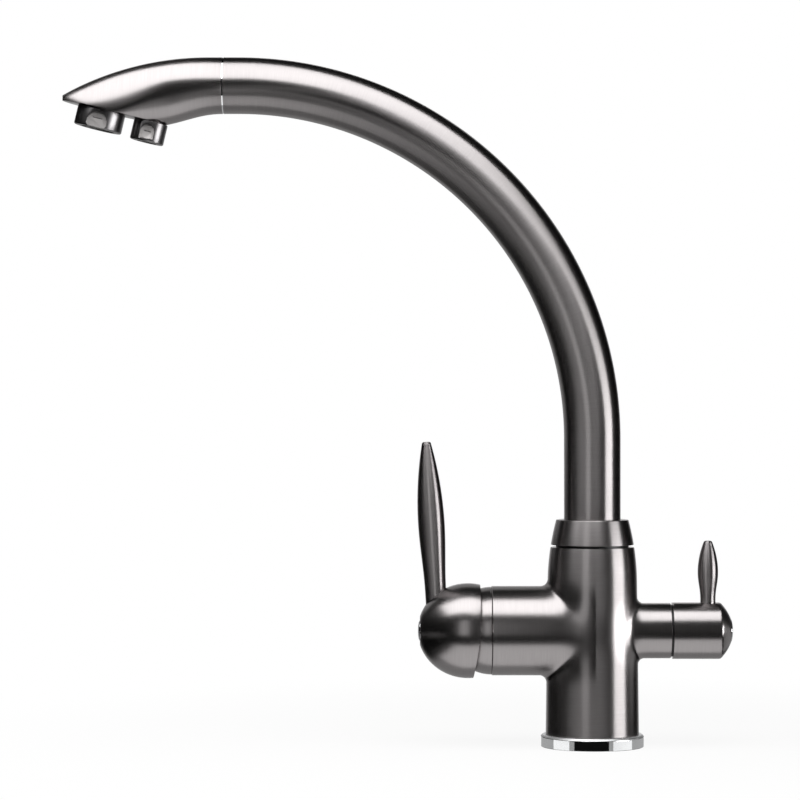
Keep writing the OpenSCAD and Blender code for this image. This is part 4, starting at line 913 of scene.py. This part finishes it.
class TAP_OT_levers(bpy.types.Operator):
    """Turn the mixer lever and the small lever of the filter valve"""

    bl_idname = "tap.levers"
    bl_label = "Levers"

    def execute(self, context):
        body, handle = context.scene.tap_body, context.scene.tap_handle
        leaning = (
            mixer_place(body)
            @ Matrix.Translation((0.0, 0.0, handle.lever_foot_u))
            @ Matrix.Rotation(pi / 2 - handle.lever_lean, 4, "Y")
            @ Matrix.Translation((0.0, 0.0, handle.lever_seat))
        )
        upright = Matrix.Translation((handle.small_u, 0.0, handle.small_top - handle.small_len))
        levers = (
            (
                "mixer", leaning, LEVER_SIDES, handle.lever_len, handle.lever_tip_d,
                handle.lever_d, handle.lever_foot_d, handle.lever_waist,
            ),
            (
                "filter", upright, SMALL_SIDES, handle.small_len, handle.small_tip_d,
                handle.small_d, handle.small_foot_d, handle.small_waist,
            ),
        )
        for valve, place, sides, size, tip_d, max_d, foot_d, waist in levers:
            profile = lever_profile(
                size, tip_d / 2, max_d / 2, foot_d / 2, waist, handle.tip_edge
            )
            bm = turned(profile, sides)
            brush_turned(bm, max_d / 2)
            add_piece(
                context, bm, f"brushed_{valve}_lever", f"{valve}_control", f"{valve}_lever", place
            )
        return {"FINISHED"}


class TAP_OT_filter_handle(bpy.types.Operator):
    """Turn the handle of the filter valve"""

    bl_idname = "tap.filter_handle"
    bl_label = "Filter handle"

    def execute(self, context):
        body, handle = context.scene.tap_body, context.scene.tap_handle
        foot, end, radius = handle.knob_u, handle.knob_end_u, handle.knob_d / 2
        button, nose = handle.knob_button_d / 2, foot + handle.knob_len
        hollow, hollow_end = handle.knob_cavity_d / 2, foot + handle.knob_cavity_len
        seat = end - handle.button_depth
        start, stop = Vector((radius, nose)), Vector((button + BUTTON_LAND, end))
        chord = stop - start
        bulge = Vector((chord.y, -chord.x)).normalized() * handle.knob_bulge
        nose_line = [
            start + chord * s + bulge * 4 * s * (1 - s) for s in spread(0.0, 1.0, NOSE_STEPS)
        ]
        bm = turned(
            [(0.0, hollow_end), (hollow, hollow_end), (hollow, foot), (radius, foot)]
            + [(p.x, p.y) for p in nose_line]
            + [(button, end), (button, seat), (0.0, seat)],
            KNOB_SIDES,
        )
        round_edges(bm, handle.nose_edge, edges_at(bm, nose))
        round_edges(bm, handle.knob_edge)
        brush_turned(bm, radius)
        add_piece(
            context, bm, "brushed_filter_handle", "filter_control", "filter_handle",
            filter_place(body), by_hand,
        )
        return {"FINISHED"}


class TAP_OT_index_buttons(bpy.types.Operator):
    """Turn the domed chrome buttons that hide the handle screws"""

    bl_idname = "tap.index_buttons"
    bl_label = "Index buttons"

    def execute(self, context):
        body, handle = context.scene.tap_body, context.scene.tap_handle
        buttons = (
            ("mixer", handle.mixer_button_d, -DOME_LOW.x, mixer_place(body)),
            ("filter", handle.knob_button_d, handle.knob_end_u, filter_place(body)),
        )
        for valve, diameter, face, place in buttons:
            radius, seat = diameter / 2 - BUTTON_ROOM, face - handle.button_depth
            dome = arc(radius, handle.button_dome, face, 0.0, pi / 2, BUTTON_STEPS)
            dome[-1] = (0.0, face + handle.button_dome)
            bm = turned([(0.0, seat), (radius, seat)] + dome, BUTTON_SIDES)
            add_piece(
                context, bm, f"chrome_{valve}_button", f"{valve}_control",
                f"{valve}_index_button", place, slot="polished_chrome",
            )
        return {"FINISHED"}


class TAP_OT_aerators(bpy.types.Operator):
    """Round the edges of both aerators and blast their spanner flats"""

    bl_idname = "tap.aerators"
    bl_label = "Aerators"

    def execute(self, context):
        for name in ("mixed_aerator", "filter_aerator"):
            bm = bmesh.new()
            bm.from_mesh(frame["nodes"][name].data)
            bmesh.ops.remove_doubles(bm, verts=bm.verts, dist=MERGED)
            bmesh.ops.dissolve_limit(
                bm, angle_limit=FLAT_BEND, verts=bm.verts, edges=bm.edges
            )
            # The flats are the large faces that look straight to the front and the back.
            for face in bm.faces:
                straight = abs(face.normal.y) > LOOKS_OUT
                face.material_index = int(straight and face.calc_area() > FLAT_AREA)
            round_edges(bm, context.scene.tap_spout.aerator_edge)
            mesh = add_piece(context, bm, "chrome_" + name, "spout", name, slot="dark_chrome")
            mesh.materials.append(finishes(context)["blasted_chrome"])
        return {"FINISHED"}


class TAP_OT_fittings(bpy.types.Operator):
    """Finish the rings, seals, screws and inner fittings, which keep their shapes"""

    bl_idname = "tap.fittings"
    bl_label = "Fittings"

    def execute(self, context):
        materials = finishes(context)
        slots = {row["node"]: row["material_slot"] for row in frame["record"]["subparts"]}
        for name, node in frame["nodes"].items():
            if slots[name] == "satin_nickel":
                continue
            for slot in node.material_slots:
                slot.material = materials[slots[name]]
        return {"FINISHED"}


def look_from(obj, place, aim):
    """Puts a lamp or the camera at a place and turns it to its aim."""
    obj.location = place
    obj.rotation_euler = (Vector(aim) - Vector(place)).to_track_quat("-Z", "Y").to_euler()


class TAP_OT_stage(bpy.types.Operator):
    """Set up the floor, the flags, the soft boxes and the camera"""

    bl_idname = "tap.stage"
    bl_label = "Stage"

    def execute(self, context):
        stage = context.scene.tap_stage
        context.scene.view_settings.view_transform = "Standard"
        self.camera(context, stage)
        self.world(context)
        self.floor(context, stage)
        self.flags(context, stage)
        self.lamps(context)
        return {"FINISHED"}

    def camera(self, context, stage):
        camera = bpy.data.cameras.new("front_camera")
        camera.sensor_width = 36.0
        camera.angle = stage.camera_view
        obj = bpy.data.objects.new("front_camera", camera)
        context.scene.collection.objects.link(obj)
        look_from(obj, stage.camera_at, stage.camera_aim)
        context.scene.camera = obj

    def seen_rays(self, tree):
        """1 for rays from the camera, a reflection or through glass, 0 for light on surfaces."""
        path = add_node(tree, "ShaderNodeLightPath").outputs
        shiny = add_node(
            tree, "ShaderNodeMath", {"operation": "MAXIMUM"},
            {0: path["Is Camera Ray"], 1: path["Is Glossy Ray"]},
        )
        return add_node(
            tree, "ShaderNodeMath", {"operation": "MAXIMUM"},
            {0: shiny, 1: path["Is Transmission Ray"]},
        )

    def world(self, context):
        world = bpy.data.worlds.new("white_studio")
        world.use_nodes = True
        tree = world.node_tree
        tree.nodes.clear()
        white = linear("#ffffff")
        dim = add_node(tree, "ShaderNodeBackground", None, {"Color": white, "Strength": 0.25})
        full = add_node(tree, "ShaderNodeBackground", None, {"Color": white, "Strength": 1.0})
        mix = add_node(
            tree, "ShaderNodeMixShader", None, {0: self.seen_rays(tree), 1: dim, 2: full}
        )
        add_node(tree, "ShaderNodeOutputWorld", None, {"Surface": mix})
        context.scene.world = world

    def floor(self, context, stage):
        # Matt white studio paper with fibres of 1.5 mm: its shadow shows near the tap, and from
        # 80 to 400 mm away it runs into the white background.
        material, tree = empty_material("studio_paper")
        tone = patchy(tree, stage.floor, 0.015, 1.5, 2.0)[1]
        paper = add_node(tree, "ShaderNodeBsdfDiffuse", None, {"Color": tone})
        glow = add_node(
            tree, "ShaderNodeEmission", None, {"Color": linear("#ffffff"), "Strength": 1.0}
        )
        place = add_node(tree, "ShaderNodeTexCoord").outputs["Object"]
        away = add_node(tree, "ShaderNodeVectorMath", {"operation": "LENGTH"}, {0: place})
        share = add_node(
            tree, "ShaderNodeMapRange", {"interpolation_type": "SMOOTHSTEP"},
            {"Value": away, "From Min": 80 * MM, "From Max": 400 * MM, "To Min": 0.9},
        )
        seen = add_node(
            tree, "ShaderNodeMath", {"operation": "MULTIPLY"}, {0: share, 1: self.seen_rays(tree)}
        )
        mix = add_node(tree, "ShaderNodeMixShader", None, {0: seen, 1: paper, 2: glow})
        add_node(tree, "ShaderNodeOutputMaterial", None, {"Surface": mix})
        bm = bmesh.new()
        bmesh.ops.create_grid(bm, x_segments=8, y_segments=8, size=FLOOR_HALF)
        # The openings in the tent show in the metal in place of the paper.
        self.add_set_piece(context, bm, "studio_floor", material).visible_glossy = False

    def add_set_piece(self, context, bm, name, material):
        mesh = bpy.data.meshes.new(name)
        bm.to_mesh(mesh)
        bm.free()
        mesh.materials.append(material)
        obj = bpy.data.objects.new(name, mesh)
        context.scene.collection.objects.link(obj)
        return obj

    def flags(self, context, stage):
        grey = self.paper("grey_paper", stage.paper)
        white = self.paper("white_paper", stage.board)
        pale = self.paper("pale_paper", stage.card)
        # Each sheet has a corner and two sides, in metres.
        sheets = (
            ("white_board", white, (-0.4, -0.58, -0.3), (0.7, 0.0, 0.0), (0.0, 0.61, 0.0)),
            ("back_board", grey, (-0.4, 0.03, -0.3), (0.7, 0.0, 0.0), (0.0, 0.97, 0.0)),
            ("grey_card", grey, (-0.3, 0.22, 0.14), (0.29, 0.0, 0.0), (0.0, 0.0, 0.16)),
            ("front_card", pale, (-0.16, -0.3, 0.02), (0.1, 0.0, 0.0), (0.0, 0.0, 0.2)),
            (
                "nose_card", grey, (0.1185, 0.021, 0.065), (-0.0225, 0.025, -0.026),
                (0.008, -0.024, -0.03),
            ),
        )
        pieces = [("felt_tent", self.felt(stage), self.tent())]
        for name, paper, corner, across, up in sheets:
            bm = bmesh.new()
            line = [bm.verts.new(corner), bm.verts.new(Vector(corner) + Vector(across))]
            fresh = bmesh.ops.extrude_edge_only(bm, edges=[bm.edges.new(line)])["geom"]
            bmesh.ops.translate(bm, vec=up, verts=only(bmesh.types.BMVert, fresh))
            pieces.append((name, paper, bm))
        for name, cloth, bm in pieces:
            flag = self.add_set_piece(context, bm, name, cloth)
            flag.data.materials.append(grey)
            flag.visible_camera = False
            flag.visible_shadow = False
            flag.visible_diffuse = False

    def felt(self, stage):
        # Black felt with its nap in tufts of 4 mm: it swallows nearly all light, so the metal
        # mirrors dark edges from it.
        material, tree = empty_material("black_felt")
        tone = patchy(tree, stage.cloth, 0.3, 4, 3.0)[1]
        felt = add_node(tree, "ShaderNodeBsdfDiffuse", None, {"Color": tone})
        add_node(tree, "ShaderNodeOutputMaterial", None, {"Surface": felt})
        return material

    def tent(self):
        """A round tent of felt, with grey paper at the back and along its foot, and open slots."""
        bm = bmesh.new()
        bmesh.ops.create_uvsphere(bm, u_segments=TENT_SIDES, v_segments=TENT_SIDES, radius=TENT_R)
        slots = []
        for face in bm.faces:
            rise, side = self.bearing(face.calc_center_median())
            at_foot = -7 < rise < -6
            paper_behind = -60 < rise < 30 and abs(side) >= 150
            paper_beside = at_foot and not -43 < side < 35
            face.material_index = int(paper_behind or paper_beside)
            slot_behind = -20 < rise < 30 and abs(side) > 167
            slot_beside = at_foot and (-100 < side < -55 or 45 < side < 96)
            if slot_behind or slot_beside:
                slots.append(face)
        bmesh.ops.delete(bm, geom=slots, context="FACES")
        return bm

    def bearing(self, point):
        """Angles of a point over the horizon and to the right of the camera's side, in degrees."""
        rise = degrees(atan2(point.z, hypot(point.x, point.y)))
        return rise, degrees(atan2(point.x, -point.y))

    def paper(self, name, tone):
        # Paper lit from behind: an even glow with faint fibres of 6 mm, for the metal to mirror.
        material, tree = empty_material(name)
        fibres = patchy(tree, tone, 0.1, 6, 2.0)[1]
        glow = add_node(tree, "ShaderNodeEmission", None, {"Color": fibres, "Strength": 1.0})
        add_node(tree, "ShaderNodeOutputMaterial", None, {"Surface": glow})
        return material

    def lamps(self, context):
        # Each soft box has its place, its aim, its width and height, and its brightness.
        lamps = (
            ("top_box", (-0.17, -0.2, 0.51), (-0.16986, -0.199, 0.0), (0.74, 0.44), 2.35),
            ("right_strip", (0.93, -0.36, 0.1), (0.0, 0.0, 0.1), (0.6, 0.34), 6.5),
        )
        for name, place, aim, (width, height), radiance in lamps:
            lamp = bpy.data.lights.new(name, "AREA")
            lamp.shape = "RECTANGLE"
            lamp.size, lamp.size_y = width, height
            # A lamp's radiance is a quarter of its power for each square metre.
            lamp.energy = 4 * radiance * width * height
            obj = bpy.data.objects.new(name, lamp)
            context.scene.collection.objects.link(obj)
            look_from(obj, place, aim)
            obj.visible_camera = False


PIECES = (
    TAP_OT_base_ring, TAP_OT_valve_body, TAP_OT_spout_collar, TAP_OT_swan_neck, TAP_OT_spout_head,
    TAP_OT_mixer_handle, TAP_OT_levers, TAP_OT_filter_handle, TAP_OT_index_buttons,
    TAP_OT_aerators, TAP_OT_fittings, TAP_OT_stage,
)
SETTINGS = {
    "tap_body": TapBodySettings, "tap_spout": TapSpoutSettings, "tap_handle": TapHandleSettings,
    "tap_finish": TapFinishSettings, "tap_stage": TapStageSettings,
}


class TAP_PT_pieces(bpy.types.Panel):
    """The tap's pieces and settings"""

    bl_idname = "TAP_PT_pieces"
    bl_label = "Tap"
    bl_space_type = "VIEW_3D"
    bl_region_type = "UI"
    bl_category = "Tap"

    def draw(self, context):
        for piece in PIECES:
            self.layout.operator(piece.bl_idname)
        for name, group in SETTINGS.items():
            box = self.layout.box()
            box.label(text=group.__doc__)
            settings = getattr(context.scene, name)
            for prop in group.__annotations__:
                box.prop(settings, prop)


CLASSES = tuple(SETTINGS.values()) + PIECES + (TAP_PT_pieces,)


def register():
    for cls in CLASSES:
        bpy.utils.register_class(cls)
    for name, group in SETTINGS.items():
        setattr(bpy.types.Scene, name, bpy.props.PointerProperty(type=group))


def unregister():
    for name in SETTINGS:
        delattr(bpy.types.Scene, name)
    for cls in reversed(CLASSES):
        bpy.utils.unregister_class(cls)


def main():
    register()
    bpy.ops.tap.stage()
    bpy.ops.tap.base_ring()
    bpy.ops.tap.valve_body()
    bpy.ops.tap.spout_collar()
    bpy.ops.tap.swan_neck()
    bpy.ops.tap.spout_head()
    bpy.ops.tap.mixer_handle()
    bpy.ops.tap.levers()
    bpy.ops.tap.filter_handle()
    bpy.ops.tap.index_buttons()
    bpy.ops.tap.aerators()
    bpy.ops.tap.fittings()


if __name__ == "__main__":
    main()
